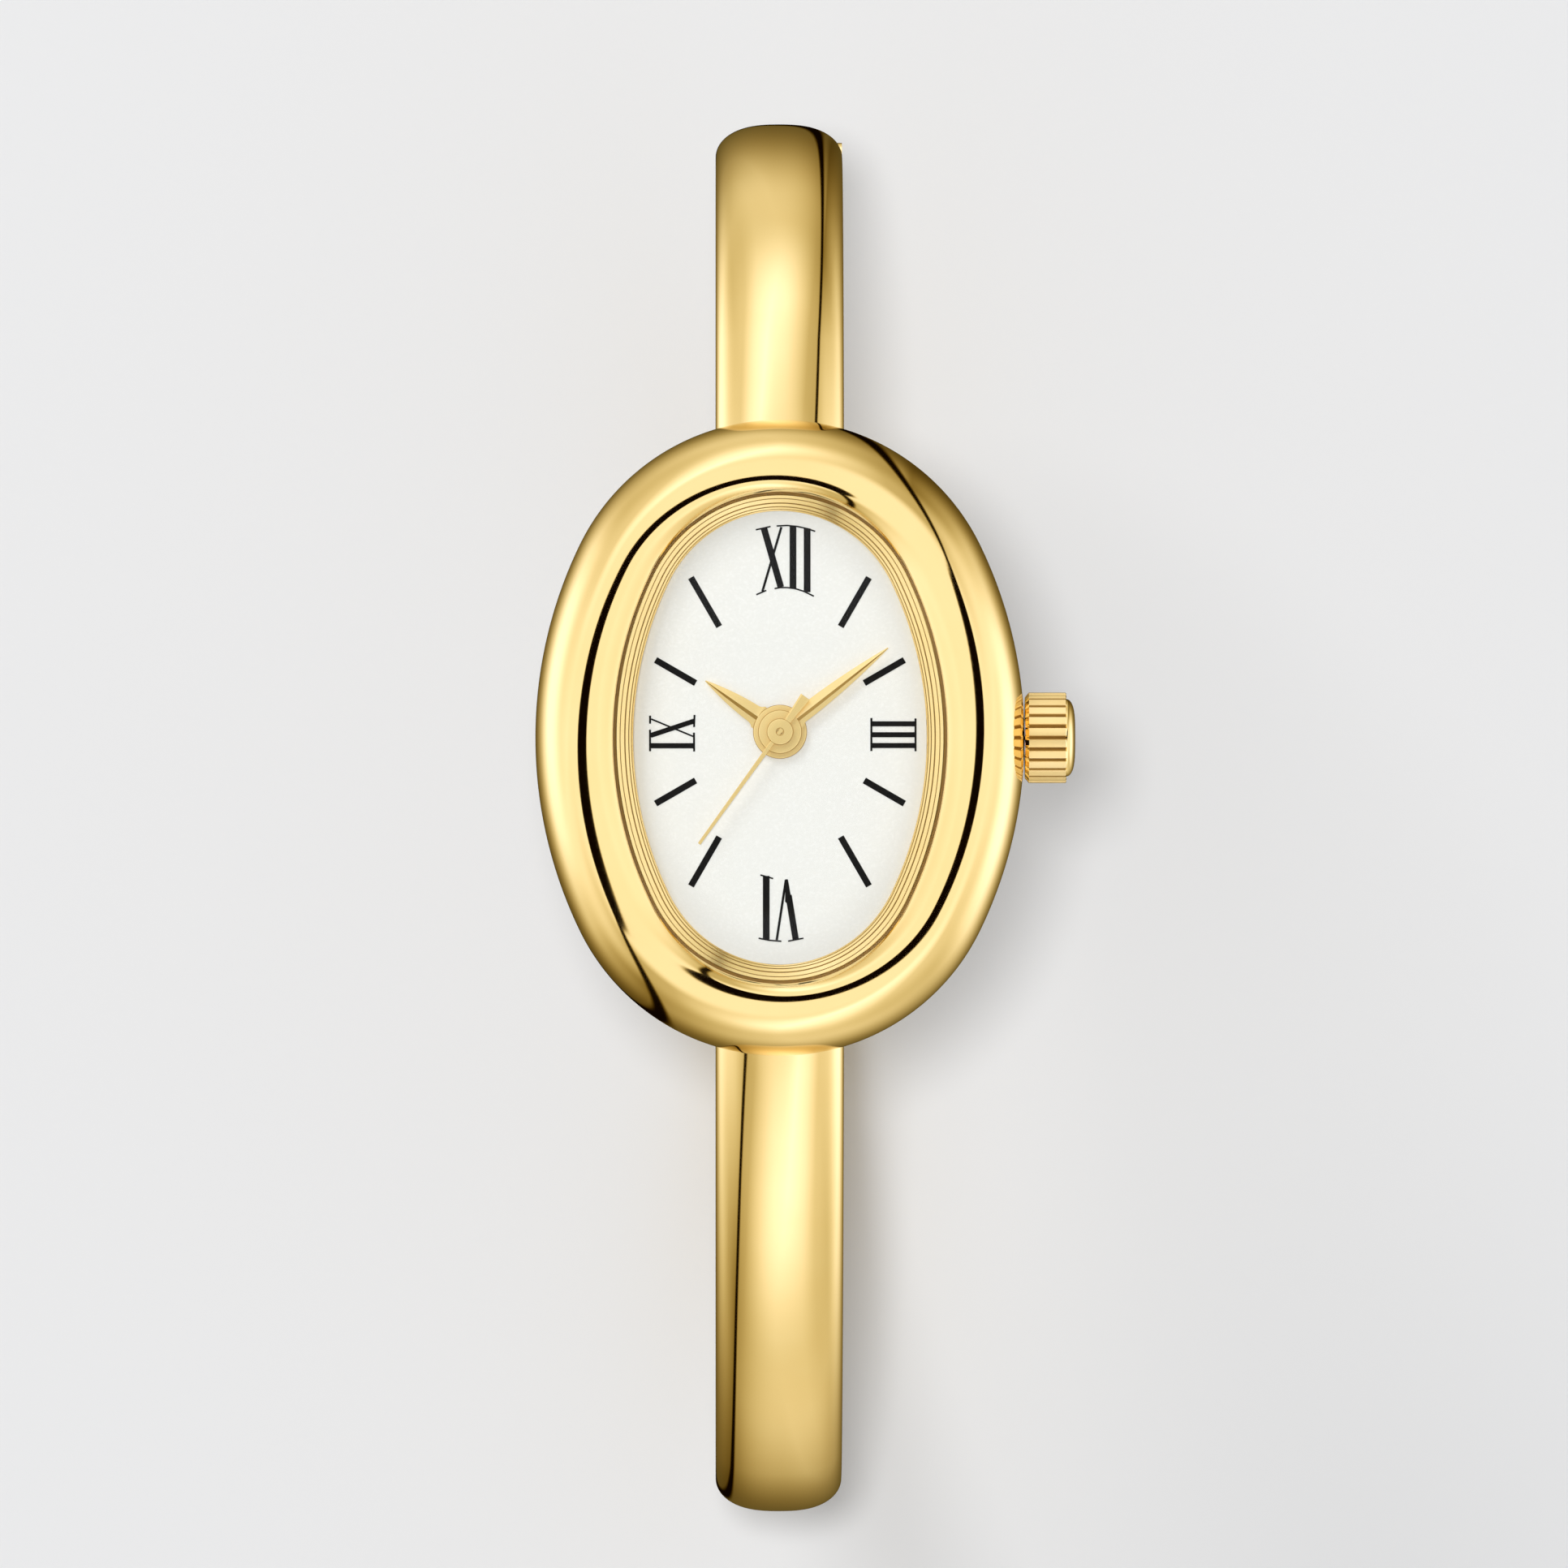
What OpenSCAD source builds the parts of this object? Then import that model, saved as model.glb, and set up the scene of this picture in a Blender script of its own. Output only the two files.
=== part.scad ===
// Oval bangle watch with an arched case, a quartz movement and a hinged back gate.
// Millimetres. The dial faces +Z, 12 o'clock is +Y and the crown is at +X.
// The origin is the centre of the case back's outer face.

/* [Case] */
// Width of the case from 9 to 3 o'clock, without the crown
case_w = 20.5; // [20.2:0.1:21]
// Length of the case from 12 to 6 o'clock
case_l = 26.72; // [26.4:0.02:27.2]
// Radius of the oval's long sides
case_side_r = 18.6; // [18:0.1:20]
// Height of the bezel's crest above the case back
case_h = 6.4; // [6.3:0.05:6.8]
// Height of the widest line of the case
widest_h = 3.6; // [3.4:0.05:3.8]
// Height that the top of the case falls from its middle to its ends at 12 and 6 o'clock
arch_drop = 1.81; // [1.4:0.01:1.9]
// Distance from the outline in to the bezel's crest
crest_in = 1.88; // [1.75:0.01:2]
// Distance from the outline in to the opening over the dial
lip_in = 3.26; // [3.16:0.01:3.36]
// Distance from the outline in to the wall of the cavity
cavity_in = 2.8; // [2.75:0.01:2.9]
// Distance from the outline in to the case's lower edge
foot_in = 2.05; // [1.95:0.01:2.1]
// Share by which these distances are smaller at 12 and 6 o'clock
end_ease = 0.06; // [0:0.01:0.08]
// Height of the shoulder under the bezel that the dial ring bears on
shoulder_h = 5.15; // [5.1:0.01:5.25]

/* [Case back] */
// Thickness of the snap-on case back
back_t = 0.6; // [0.5:0.05:0.65]
// Height of the snap lip inside the cavity
back_lip_h = 0.5; // [0.4:0.05:0.6]
// Thickness of the snap lip
back_lip_t = 0.45; // [0.35:0.05:0.5]

/* [Crystal and dial] */
// Thickness of the crystal
crystal_t = 0.75; // [0.6:0.05:0.85]
// Thickness of the flat gasket under the crystal
gasket_t = 0.1; // [0.08:0.01:0.14]
// Distance from the outline in to the dial ring's inner edge
ring_in = 4.11; // [4.01:0.01:4.2]
// Number of steps turned in the dial ring
ring_steps = 4; // [3:1:5]
// Height of the dial's underside above the case back
dial_z = 3.45; // [3.42:0.01:3.5]
// Thickness of the dial
dial_t = 0.3; // [0.25:0.01:0.32]
// Thickness of the printing on the dial
print_t = 0.03; // [0.02:0.01:0.05]
// Distance from the middle of the case up to the hands' axis, towards 12 o'clock
axis_up = 0.25; // [0:0.05:0.35]
// Width of the hour strokes
baton_w = 0.21; // [0.15:0.01:0.3]
// Width of the thick strokes of the numerals
stroke_w = 0.27; // [0.2:0.01:0.3]
// Width of the thin strokes of the numerals
hair_w = 0.1; // [0.08:0.01:0.14]

/* [Hands] */
// Length of the hour hand from the centre to its tip
hour_l = 3.78; // [3.4:0.02:4]
// Length of the minute hand from the centre to its tip
minute_l = 5.73; // [5.3:0.02:5.9]
// Length of the second hand from the centre to its tip
second_l = 5.79; // [5.4:0.02:5.95]
// Length of the second hand's counterweight
tail_l = 1.81; // [1.5:0.02:2.1]
// Thickness of the hands
hand_t = 0.11; // [0.08:0.01:0.12]
// Direction of the hour mark that the hour hand has passed, clockwise from 12
hour_mark_a = 300; // [0:30:330]
// Direction of the minute hand, clockwise from 12
minute_hand_a = 52.2; // [0:0.1:359.9]
// Direction of the second hand, clockwise from 12
second_hand_a = 215.4; // [0:0.1:359.9]

/* [Crown] */
// Diameter of the crown
crown_d = 3.8; // [3.4:0.05:4]
// Length of the crown's fluted band
crown_l = 1.7; // [1.5:0.05:1.9]
// Height of the domed end of the crown
crown_dome = 0.36; // [0.25:0.01:0.45]
// Number of flutes round the crown
crown_flutes = 24; // [16:1:30]
// Height of the crown's axis above the case back
crown_z = 2.4; // [2.36:0.01:2.44]
// Distance that the crown pulls out to set the hands
crown_pull = 0.6; // [0.4:0.05:0.65]
// Diameter of the stem
stem_d = 0.7; // [0.6:0.02:0.74]
// Outer diameter of the tube pressed into the case
tube_d = 1.6; // [1.5:0.02:1.7]

/* [Bangle] */
// Width of the bangle
band_w = 5.4; // [5:0.1:5.8]
// Thickness of the bangle at its middle
band_t = 2; // [1.95:0.05:2.3]
// Height of the bangle's domed outer face
band_dome = 1.4; // [1.2:0.05:1.45]
// Outer length of the bangle's oval
band_l = 60.6; // [58:0.1:62]
// Outer height of the bangle's oval
band_h = 46.6; // [45:0.2:48]
// Radius of the oval's round sides
band_side_r = 18; // [17:0.1:19]
// Angle that the bangle's oval is turned, so that its belly hangs towards 6 o'clock
band_turn = 17.5; // [14:0.5:19]
// Length of the tongue that seats in the case
tongue_l = 1.6; // [1.5:0.05:1.65]
// Diameter of the screws that hold the arms in the case
arm_screw_d = 0.7; // [0.6:0.05:0.8]

/* [Back gate] */
// Angle round the bangle from the dial's direction to the hinge
hinge_a = 105; // [102:1:112]
// Angle round the bangle from the dial's direction to the clasp
clasp_a = 97; // [95:1:102]
// Radius of the hinge knuckles
knuckle_r = 0.85; // [0.75:0.01:0.9]
// Width of the hinge across its knuckles
hinge_w = 4.6; // [4:0.1:4.8]
// Diameter of the hinge pin
hinge_pin_d = 0.6; // [0.5:0.02:0.7]
// Angle that the gate opens
gate_open = 60; // [30:1:62]
// Width of the snap tongue
snap_w = 2.6; // [2.2:0.1:3]
// Thickness of the snap tongue
snap_t = 0.55; // [0.45:0.05:0.6]
// Length of the snap tongue
snap_l = 2.1; // [1.6:0.1:2.3]
// Diameter of the clasp's release button
button_d = 1.1; // [0.9:0.05:1.2]
// Travel of the release button
button_travel = 0.25; // [0.15:0.05:0.3]

/* [Movement] */
// Clearance round the movement in its ring
move_gap = 0.05; // [0.03:0.01:0.08]
// Width of the plastic ring that holds the movement
holder_w = 0.75; // [0.7:0.01:0.9]
// Height of the main plate's underside
plate_z = 2.1; // [2.08:0.01:2.12]
// Thickness of the main plate
plate_t = 0.75; // [0.72:0.01:0.77]
// Height of the train bridge's underside
bridge_z = 0.8; // [0.78:0.01:0.84]
// Thickness of the train bridge
bridge_t = 0.32; // [0.28:0.01:0.34]
// Diameter of the button cell
cell_d = 5.8; // [5.6:0.05:5.85]
// Height of the button cell
cell_h = 1.6; // [1.4:0.05:1.65]
// Module of the wheels under the dial
dial_mod = 0.12; // [0.118:0.001:0.122]
// Module of the fourth pinion and third wheel
train_mod = 0.1; // [0.098:0.001:0.102]
// Module of the intermediate pinion and fourth wheel
step_mod = 0.11; // [0.108:0.001:0.112]
// Module of the rotor pinion and intermediate wheel
rotor_mod = 0.08; // [0.078:0.001:0.082]

/* [Hidden] */

// Clearance of a turning or sliding fit, on the radius
fit = 0.03;
// Clearance between pieces that are assembled and stay put
seat = 0.02;
// Overrun of every cut past the surface it opens
over = 0.5;
// Facets of round pieces that show
fine = 64;
// Facets of small round pieces
small = 32;
// Segments of the oval along each side arc and each end arc
side_n = 16;
end_n = 20;
// Points of the case's section: inner round, outer round and lower round
inner_n = 4;
outer_n = 8;
lower_n = 6;
// Radii of the rounding from the crest in to the lip
inner_w = 1.6;
inner_h = 1.15;

// The oval is four arcs: two side arcs and two end arcs that meet tangent
half_w = case_w / 2;
half_l = case_l / 2;
side_x = case_side_r - half_w;
end_r = (pow(case_side_r, 2) - pow(side_x, 2) - pow(half_l, 2)) / (2 * (case_side_r - half_l));
end_y = half_l - end_r;
meet_a = atan2(end_y, side_x);
// The arch that the top follows from 12 to 6 o'clock
arch_r = (pow(half_l, 2) + pow(arch_drop, 2)) / (2 * arch_drop);

function spread(from, to, n) = [for (i = [0:n - 1]) from + (to - from) * i / n];

oval_angles = concat(
    spread(-meet_a, meet_a, side_n),
    spread(meet_a, 180 - meet_a, end_n),
    spread(180 - meet_a, 180 + meet_a, side_n),
    spread(180 + meet_a, 360 - meet_a, end_n)
);

// Distance in from the outline, which is a little smaller towards the ends
function eased(a, inset) = inset * (1 - end_ease * pow(sin(a), 2));

// Point of the outline drawn in by inset, where its normal has the angle a
function oval_pt(a, inset) =
    abs(sin(a)) < sin(meet_a)
        ? [
            (case_side_r - eased(a, inset)) * cos(a) - side_x * sign(cos(a)),
            (case_side_r - eased(a, inset)) * sin(a),
        ]
        : [
            (end_r - eased(a, inset)) * cos(a),
            (end_r - eased(a, inset)) * sin(a) + end_y * sign(sin(a)),
        ];

function oval(inset) = [for (a = oval_angles) oval_pt(a, inset)];

// Depth that the arch falls at a distance y from the middle
function fall(y) = arch_r - sqrt(pow(arch_r, 2) - pow(y, 2));

// Section points are [inset, height, share of the arch]
function arched(a, s) =
    let (p = oval_pt(a, s[0]))
    [p[0], p[1], s[1] - s[2] * fall(p[1])];

function arched_ring(section) = [for (a = oval_angles) [for (s = section) arched(a, s)]];

// Closed skin over sections of equal length, ringed or capped at both ends
module skin(sections, ringed) {
    n = len(sections);
    m = len(sections[0]);
    points = [for (s = sections) each s];
    sides = [
        for (i = [0:(ringed ? n : n - 1) - 1])
            for (j = [0:m - 1])
                let (
                    p = i * m + j,
                    q = i * m + (j + 1) % m,
                    r = ((i + 1) % n) * m + (j + 1) % m,
                    s = ((i + 1) % n) * m + j
                )
                each [[p, q, r], [p, r, s]],
    ];
    caps = ringed ? [] : [[for (j = [m - 1:-1:0]) j], [for (j = [0:m - 1]) (n - 1) * m + j]];
    polyhedron(points, concat(sides, caps), convexity = 6);
}

module oval_plate(inset, z, t) translate([0, 0, z]) linear_extrude(t) polygon(oval(inset));

module bore(d, z, t, x = 0, y = 0) {
    translate([x, y, z - over]) cylinder(d = d, h = t + 2 * over, $fn = small);
}

module post(d, z, t, x = 0, y = 0) translate([x, y, z]) cylinder(d = d, h = t, $fn = small);

// The movement and the hands are placed round their own axis
module at_axis() translate([0, axis_up, 0]) children();

// Gear tooth form as shares of the module, and tooth widths as shares of the pitch angle
addendum_share = 0.85;
dedendum_share = 1.15;
root_tooth_share = 0.56;
tip_tooth_share = 0.24;

function pitch_r(teeth, mod) = teeth * mod / 2;

module gear(teeth, mod, z, t, phase = 0) {
    tip = pitch_r(teeth, mod) + addendum_share * mod;
    root = pitch_r(teeth, mod) - dedendum_share * mod;
    step = 360 / teeth;
    translate([0, 0, z]) linear_extrude(t) polygon([
        for (i = [0:teeth - 1])
            for (c = [
                [root, -root_tooth_share],
                [tip, -tip_tooth_share],
                [tip, tip_tooth_share],
                [root, root_tooth_share],
            ])
                let (a = phase + i * step + c[1] * step / 2)
                c[0] * [cos(a), sin(a)],
    ]);
}

// Turn of a driven gear whose gap meets the driver's tooth, with its centre at direction a
function mesh(phase, teeth, a, driven) =
    a + 180 + (0.5 - (phase - a) * teeth / 360) * 360 / driven;

// Case shell
// Height of the shell's lower edge, which the case back closes
shell_z = back_t;
lip_turn = asin((lip_in - crest_in) / inner_w);
// Diameter of the hole for the crown's tube
tube_bore = tube_d + 2 * seat;
// Overrun of the arms' pockets, which leave the case at a slant
socket_over = 4 * over;

function lower_share(z) = (z - shell_z) / (widest_h - shell_z);

shell_section = concat(
    [
        for (t = spread(lip_turn, 0, inner_n))
            [crest_in + inner_w * sin(t), case_h - inner_h * (1 - cos(t)), 1],
    ],
    [
        for (t = spread(0, 90, outer_n))
            [crest_in * (1 - sin(t)), widest_h + (case_h - widest_h) * cos(t), 1],
    ],
    [
        for (t = concat(spread(0, 90, lower_n), [90]))
            let (z = widest_h - (widest_h - shell_z) * sin(t))
            [foot_in * (1 - cos(t)), z, lower_share(z)],
    ],
    [[cavity_in, shell_z, 0], [cavity_in, shoulder_h, 1], [lip_in, shoulder_h, 1]]
);

module case_shell() {
    color("gold")
        difference() {
            skin(arched_ring(shell_section), true);
            crown_axis(half_w - cavity_in - over)
                cylinder(d = tube_bore, h = cavity_in + 2 * over, $fn = small);
            tongue_pockets();
            at_roots() root_frame() arm_screw_places() arm_screw_hole(screw_reach);
        }
}

// Pockets for the arms' tongues, in the shell and in the edge of the case back
module tongue_pockets() {
    at_roots() root_frame() translate([0, 0, -socket_over])
        linear_extrude(tongue_l + seat + socket_over) polygon(band_section(seat, band_t));
}

// Case back
back_in = foot_in + seat;
back_lip_in = cavity_in + seat;
// Size of the notch for a case knife
notch_w = 3;
notch_d = 0.35;
notch_h = back_t / 2;

module case_back() {
    color("goldenrod")
        difference() {
            union() {
                oval_plate(back_in, 0, back_t - seat);
                oval_plate(back_lip_in, (back_t - seat) / 2, back_t / 2 + seat + back_lip_h);
            }
            oval_plate(back_lip_in + back_lip_t, back_t - seat, back_lip_h + over);
            translate([-notch_w / 2, -oval_pt(90, back_in)[1] - notch_d, back_t - seat - notch_h])
                cube([notch_w, 2 * notch_d, notch_h + over]);
            tongue_pockets();
        }
}

// Flat gasket in the corner between the case back's lip and the holder
back_gasket_t = 0.12;

module back_gasket() {
    color("dimgray")
        difference() {
            oval_plate(back_lip_in, gasket_z, back_gasket_t);
            oval_plate(back_lip_in + back_lip_t, gasket_z - over, back_gasket_t + 2 * over);
        }
}

gasket_z = back_t + seat + back_lip_h;

// Dial ring
ring_out = cavity_in + seat;
ring_top = shoulder_h - gasket_t;
// The ring has a flat flange under the gasket, then steps that go down to the dial
flange_share = 0.1;
flange_in = lip_in + flange_share * (ring_in - lip_in);
ring_foot_z = dial_z + dial_t;
ring_drop = ring_top - ring_foot_z - fall(oval_pt(90, lip_in)[1]);
step_w = (ring_in - flange_in) / ring_steps;
// Height of the ring's inner edge above the dial
ring_edge_share = 0.3;
step_h = ring_drop * (1 - ring_edge_share) / ring_steps;

ring_section = concat(
    [[ring_out, ring_foot_z, 0], [ring_in, ring_foot_z, 0]],
    [
        for (i = [ring_steps:-1:1])
            each [
                [flange_in + i * step_w, ring_top - i * step_h, 1],
                [flange_in + (i - 1) * step_w, ring_top - i * step_h, 1],
            ],
    ],
    [[flange_in, ring_top, 1], [ring_out, ring_top, 1]]
);

module dial_ring() {
    color("gold") skin(arched_ring(ring_section), true);
}

gasket_section = [
    [ring_out, ring_top, 1],
    [flange_in, ring_top, 1],
    [flange_in, shoulder_h, 1],
    [ring_out, shoulder_h, 1],
];

module crystal_gasket() {
    color("black") skin(arched_ring(gasket_section), true);
}

// Crystal, bent to the same arch as the case
crystal_in = lip_in + seat;

module arch_cylinder(z) {
    translate([-case_w, 0, z - arch_r]) rotate([0, 90, 0])
        cylinder(r = arch_r, h = 2 * case_w, $fn = 4 * fine);
}

module crystal() {
    color("lightcyan", 0.3)
        difference() {
            intersection() {
                oval_plate(crystal_in, shoulder_h - fall(half_l), crystal_t + fall(half_l));
                arch_cylinder(shoulder_h + crystal_t);
            }
            arch_cylinder(shoulder_h);
        }
}

// Dial
dial_top = dial_z + dial_t;
dial_in = cavity_in + 2 * seat;
dial_hole_d = 1.15;

module dial() {
    color("whitesmoke")
        difference() {
            oval_plate(dial_in, dial_z, dial_t);
            at_axis() bore(dial_hole_d, dial_z, dial_t);
        }
}

// Printing: the strokes run outwards, and each numeral's top faces the edge
// Inner and outer radius of the strokes nearest 12 and 6, and nearest 3 and 9
long_baton = [5.09, 7.46];
short_baton = [4.08, 6.02];
// Numerals: distance of the foot from the centre, and height
tall_foot = 5.75;
tall_h = 2.93;
wide_foot = 3.65;
wide_h = 1.92;
// Distances between the strokes of the numerals
tall_pitch = 0.62;
wide_pitch = 0.5;
// Width that a cross stroke leans over
tall_lean = 0.85;
wide_lean = 0.55;

module stroke(x, y, w, h) translate([x - w / 2, y]) square([w, h]);

module leaning(x, y, w, h, lean) {
    polygon([
        [x - w / 2 - lean / 2, y],
        [x + w / 2 - lean / 2, y],
        [x + w / 2 + lean / 2, y + h],
        [x - w / 2 + lean / 2, y + h],
    ]);
}

module serifs(x, y, w, h) {
    stroke(x, y, w, hair_w);
    stroke(x, y + h - hair_w, w, hair_w);
}

module numeral_one(x, y, h, w) {
    stroke(x, y, w, h);
    serifs(x, y, w + 2 * hair_w, h);
}

module numeral_ten(x, y, h, w, lean) {
    leaning(x, y, w, h, -lean);
    leaning(x, y, hair_w, h, lean);
    serifs(x - lean / 2, y, w + 2 * hair_w, h);
    serifs(x + lean / 2, y, w + 2 * hair_w, h);
}

module numeral_five(x, y, h, w, lean) {
    leaning(x - lean / 4, y, w, h, -lean / 2);
    leaning(x + lean / 4, y, hair_w, h, lean / 2);
    stroke(x - lean / 2, y + h - hair_w, w + 2 * hair_w, hair_w);
    stroke(x + lean / 2, y + h - hair_w, w + 2 * hair_w, hair_w);
}

module twelve() {
    numeral_ten(-tall_pitch, tall_foot, tall_h, stroke_w, tall_lean);
    numeral_one(tall_pitch / 3, tall_foot, tall_h, stroke_w);
    numeral_one(tall_pitch * 4 / 3, tall_foot, tall_h, stroke_w);
}

module three() {
    for (i = [-1:1]) numeral_one(i * wide_pitch, wide_foot, wide_h, stroke_w / 2);
}

module six() {
    numeral_five(-tall_pitch / 2, tall_foot, tall_h, stroke_w, tall_lean);
    numeral_one(tall_pitch, tall_foot, tall_h, stroke_w);
}

module nine() {
    numeral_one(-wide_pitch, wide_foot, wide_h, stroke_w / 2);
    numeral_ten(wide_pitch / 2, wide_foot, wide_h, stroke_w / 2, wide_lean);
}

module dial_printing() {
    color("black") at_axis() translate([0, 0, dial_top]) linear_extrude(print_t) {
        for (hour = [1, 5, 7, 11])
            rotate(-30 * hour) stroke(0, long_baton[0], baton_w, long_baton[1] - long_baton[0]);
        for (hour = [2, 4, 8, 10])
            rotate(-30 * hour)
                stroke(0, short_baton[0], baton_w, short_baton[1] - short_baton[0]);
        twelve();
        rotate(-90) three();
        rotate(180) six();
        rotate(90) nine();
    }
}

// Movement
holder_in = cavity_in + 2 * seat;
plate_in = holder_in + holder_w;
holder_z = gasket_z + back_gasket_t;
plate_top = plate_z + plate_t;
bridge_top = bridge_z + bridge_t;
// Width of the holder's inner lip that carries the main plate's rim
holder_lip = 0.2;
// Width of the slot for the stem
stem_slot_w = stem_d + 2 * move_gap;

module movement_ring() {
    color("ivory")
        difference() {
            oval_plate(holder_in, holder_z, dial_z - holder_z);
            oval_plate(plate_in - move_gap, plate_z - seat, dial_z - plate_z + over);
            oval_plate(plate_in + holder_lip, holder_z - over, dial_z - holder_z);
            crown_axis(half_w - plate_in - over)
                cylinder(d = tube_d + 2 * move_gap, h = holder_w + 2 * over, $fn = small);
        }
}

// Wheel centres: the train lies round the middle, the cell at 6 o'clock
dial_dist = pitch_r(40, dial_mod);
train_dist = pitch_r(68, train_mod);
step_dist = pitch_r(48, step_mod);
rotor_dist = pitch_r(56, rotor_mod);
third_a = 30;
step_a = 150;
rotor_a = 100;
minute_wheel_at = [dial_dist, 0];
third_at = train_dist * [cos(third_a), sin(third_a)];
step_at = step_dist * [cos(step_a), sin(step_a)];
rotor_at = step_at + rotor_dist * [cos(rotor_a), sin(rotor_a)];

// Levels and diameters of the wheels and arbors
wheel_t = 0.12;
arbor_d = 0.24;
sleeve_bore_d = arbor_d + 4 * fit;
sleeve_d = 0.7;
bridge_gap = 0.13;
level_h = 0.25;
fourth_z = bridge_top + bridge_gap;
third_z = fourth_z + level_h;
center_z = plate_z - level_h;
pinion_gap = 0.05;
post_d = 0.3;
cannon_z = plate_top + pinion_gap;
minute_wheel_z = cannon_z + pinion_gap;
hour_wheel_z = minute_wheel_z + 2 * wheel_t + fit;
hour_sleeve_d = 0.95;
train_third_mod = train_mod * 68 / 72;
// The cell sits to one side of the middle, clear of the center wheel's teeth
cell_x = 0.6;
cell_gap = 0.55;
center_tip_r = pitch_r(64, train_third_mod) + addendum_share * train_third_mod;
cell_at = [cell_x, -center_tip_r - cell_gap - cell_d / 2];

// Cell pocket, coil pocket and the places of the three bridge screws
coil_y = 6.4;
coil_x = 3.6;
coil_r = 0.6;
coil_l = 5.8;
core_t = 0.3;
core_w = 0.8;
stator_t = 0.3;
stator_z = plate_z - stator_t - pinion_gap;
core_z = stator_z - core_t;
screw_d = 0.6;
screw_head_d = 1;
screw_head_t = 0.2;
bridge_screw_at = [[5.2, -1.6], [4.7, 4.9], [-4.9, 0.4]];

module main_plate() {
    color("silver") {
        at_axis() post(post_d, plate_top - seat, dial_z - plate_top, dial_dist);
        difference() {
            oval_plate(plate_in, plate_z, plate_t);
            translate([half_w - plate_in - stem_inside, -stem_slot_w / 2, crown_z - stem_slot_w / 2])
                cube([stem_inside + over, stem_slot_w, plate_t + over]);
            at_axis() {
                bore(sleeve_d + 2 * fit, plate_z, plate_t);
                for (p = [third_at, rotor_at])
                    bore(arbor_d + 2 * fit, plate_z, plate_t / 2 - over, p[0], p[1]);
                bore(cell_d + 2 * move_gap, plate_z, plate_t, cell_at[0], cell_at[1]);
                translate([-coil_l / 2 - move_gap, coil_y, core_z + core_t / 2])
                    rotate([0, 90, 0])
                        cylinder(r = coil_r + move_gap, h = coil_l + 2 * move_gap, $fn = small);
                for (p = bridge_screw_at) bore(screw_d, plate_z, plate_t, p[0], p[1]);
            }
        }
    }
}

// The bridge is the middle band of an oval: it ends short of the cell and of the coil
bridge_edge = 0.4;
bridge_in = plate_in + bridge_edge;
bridge_cut_y = 2.4;
bridge_coil_gap = 0.25;

module train_bridge() {
    color("lightgray")
        difference() {
            union() {
                difference() {
                    oval_plate(bridge_in, bridge_z, bridge_t);
                    at_axis() {
                        translate([-case_w, -case_l - bridge_cut_y, bridge_z - over])
                            cube([2 * case_w, case_l, bridge_t + 2 * over]);
                        translate([-case_w, coil_y - coil_r - bridge_coil_gap, bridge_z - over])
                            cube([2 * case_w, case_l, bridge_t + 2 * over]);
                    }
                }
                at_axis() for (p = bridge_screw_at)
                    post(screw_head_d, bridge_top - seat, plate_z - bridge_top + seat, p[0], p[1]);
            }
            at_axis() {
                bore(arbor_d + 2 * fit, bridge_z, bridge_t);
                for (p = [third_at, step_at, rotor_at])
                    bore(arbor_d + 2 * fit, bridge_z, bridge_t, p[0], p[1]);
                for (p = bridge_screw_at) {
                    bore(screw_d + 2 * fit, bridge_z, plate_z - bridge_z, p[0], p[1]);
                    post(screw_head_d + 2 * fit, bridge_z - over, over + screw_head_t, p[0], p[1]);
                }
            }
        }
}

module bridge_screws() {
    color("slategray") at_axis()
        for (p = bridge_screw_at) {
            post(screw_head_d, bridge_z, screw_head_t - seat, p[0], p[1]);
            post(screw_d - 2 * seat, bridge_z, plate_z + plate_t / 2 - bridge_z, p[0], p[1]);
        }
}

cell_z = bridge_z;
// The cap that faces the case back is lower and narrower than the can
cap_h_share = 0.25;
cap_d_share = 0.8;
cell_cap_h = cell_h * cap_h_share;

module button_cell() {
    color("gainsboro") at_axis() {
        post(cell_d, cell_z + cell_cap_h, cell_h - cell_cap_h, cell_at[0], cell_at[1]);
        post(cell_d * cap_d_share, cell_z, cell_cap_h + seat, cell_at[0], cell_at[1]);
    }
}

contact_t = 0.12;
contact_w = 1.4;

module cell_contact() {
    color("tan") at_axis()
        translate([cell_at[0] - contact_w / 2, cell_at[1] - cell_d / 4, cell_z + cell_h])
            cube([contact_w, cell_d * 3 / 4, contact_t]);
}

board_t = 0.2;
board_z = bridge_z;
board_x = 2.9;
board_w = 2.4;
board_l = 4;
board_y = -6.6;

module circuit_board() {
    color("darkgreen") at_axis()
        translate([-board_x - board_w, board_y, board_z]) cube([board_w, board_l, board_t]);
}

can_r = 0.45;
can_l = 3.2;

module quartz_can() {
    color("silver") at_axis()
        translate([-board_x - board_w + can_r * 2, board_y + can_r, board_z + board_t + can_r])
            rotate([-90, 0, 0]) cylinder(r = can_r, h = can_l, $fn = small);
}

chip_w = 0.8;
chip_t = 0.35;

module driver_chip() {
    color("black") at_axis()
        translate([-board_x - chip_w, board_y + board_l - 2 * chip_w, board_z + board_t])
            cube([chip_w, chip_w, chip_t]);
}

module coil_core() {
    color("lightsteelblue") at_axis()
        translate([-coil_x - core_w / 2, coil_y - core_w / 2, core_z])
            cube([2 * coil_x + core_w, core_w, core_t]);
}

module coil_winding() {
    color("orangered") at_axis()
        difference() {
            translate([-coil_l / 2, coil_y, core_z + core_t / 2])
                rotate([0, 90, 0]) cylinder(r = coil_r, h = coil_l, $fn = small);
            translate([-coil_l, coil_y - core_w / 2 - seat, core_z - seat])
                cube([2 * coil_l, core_w + 2 * seat, core_t + 2 * seat]);
        }
}

magnet_d = 1.1;
rotor_gap = 0.2;
stator_rim = 0.35;
stator_w = 1;

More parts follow.
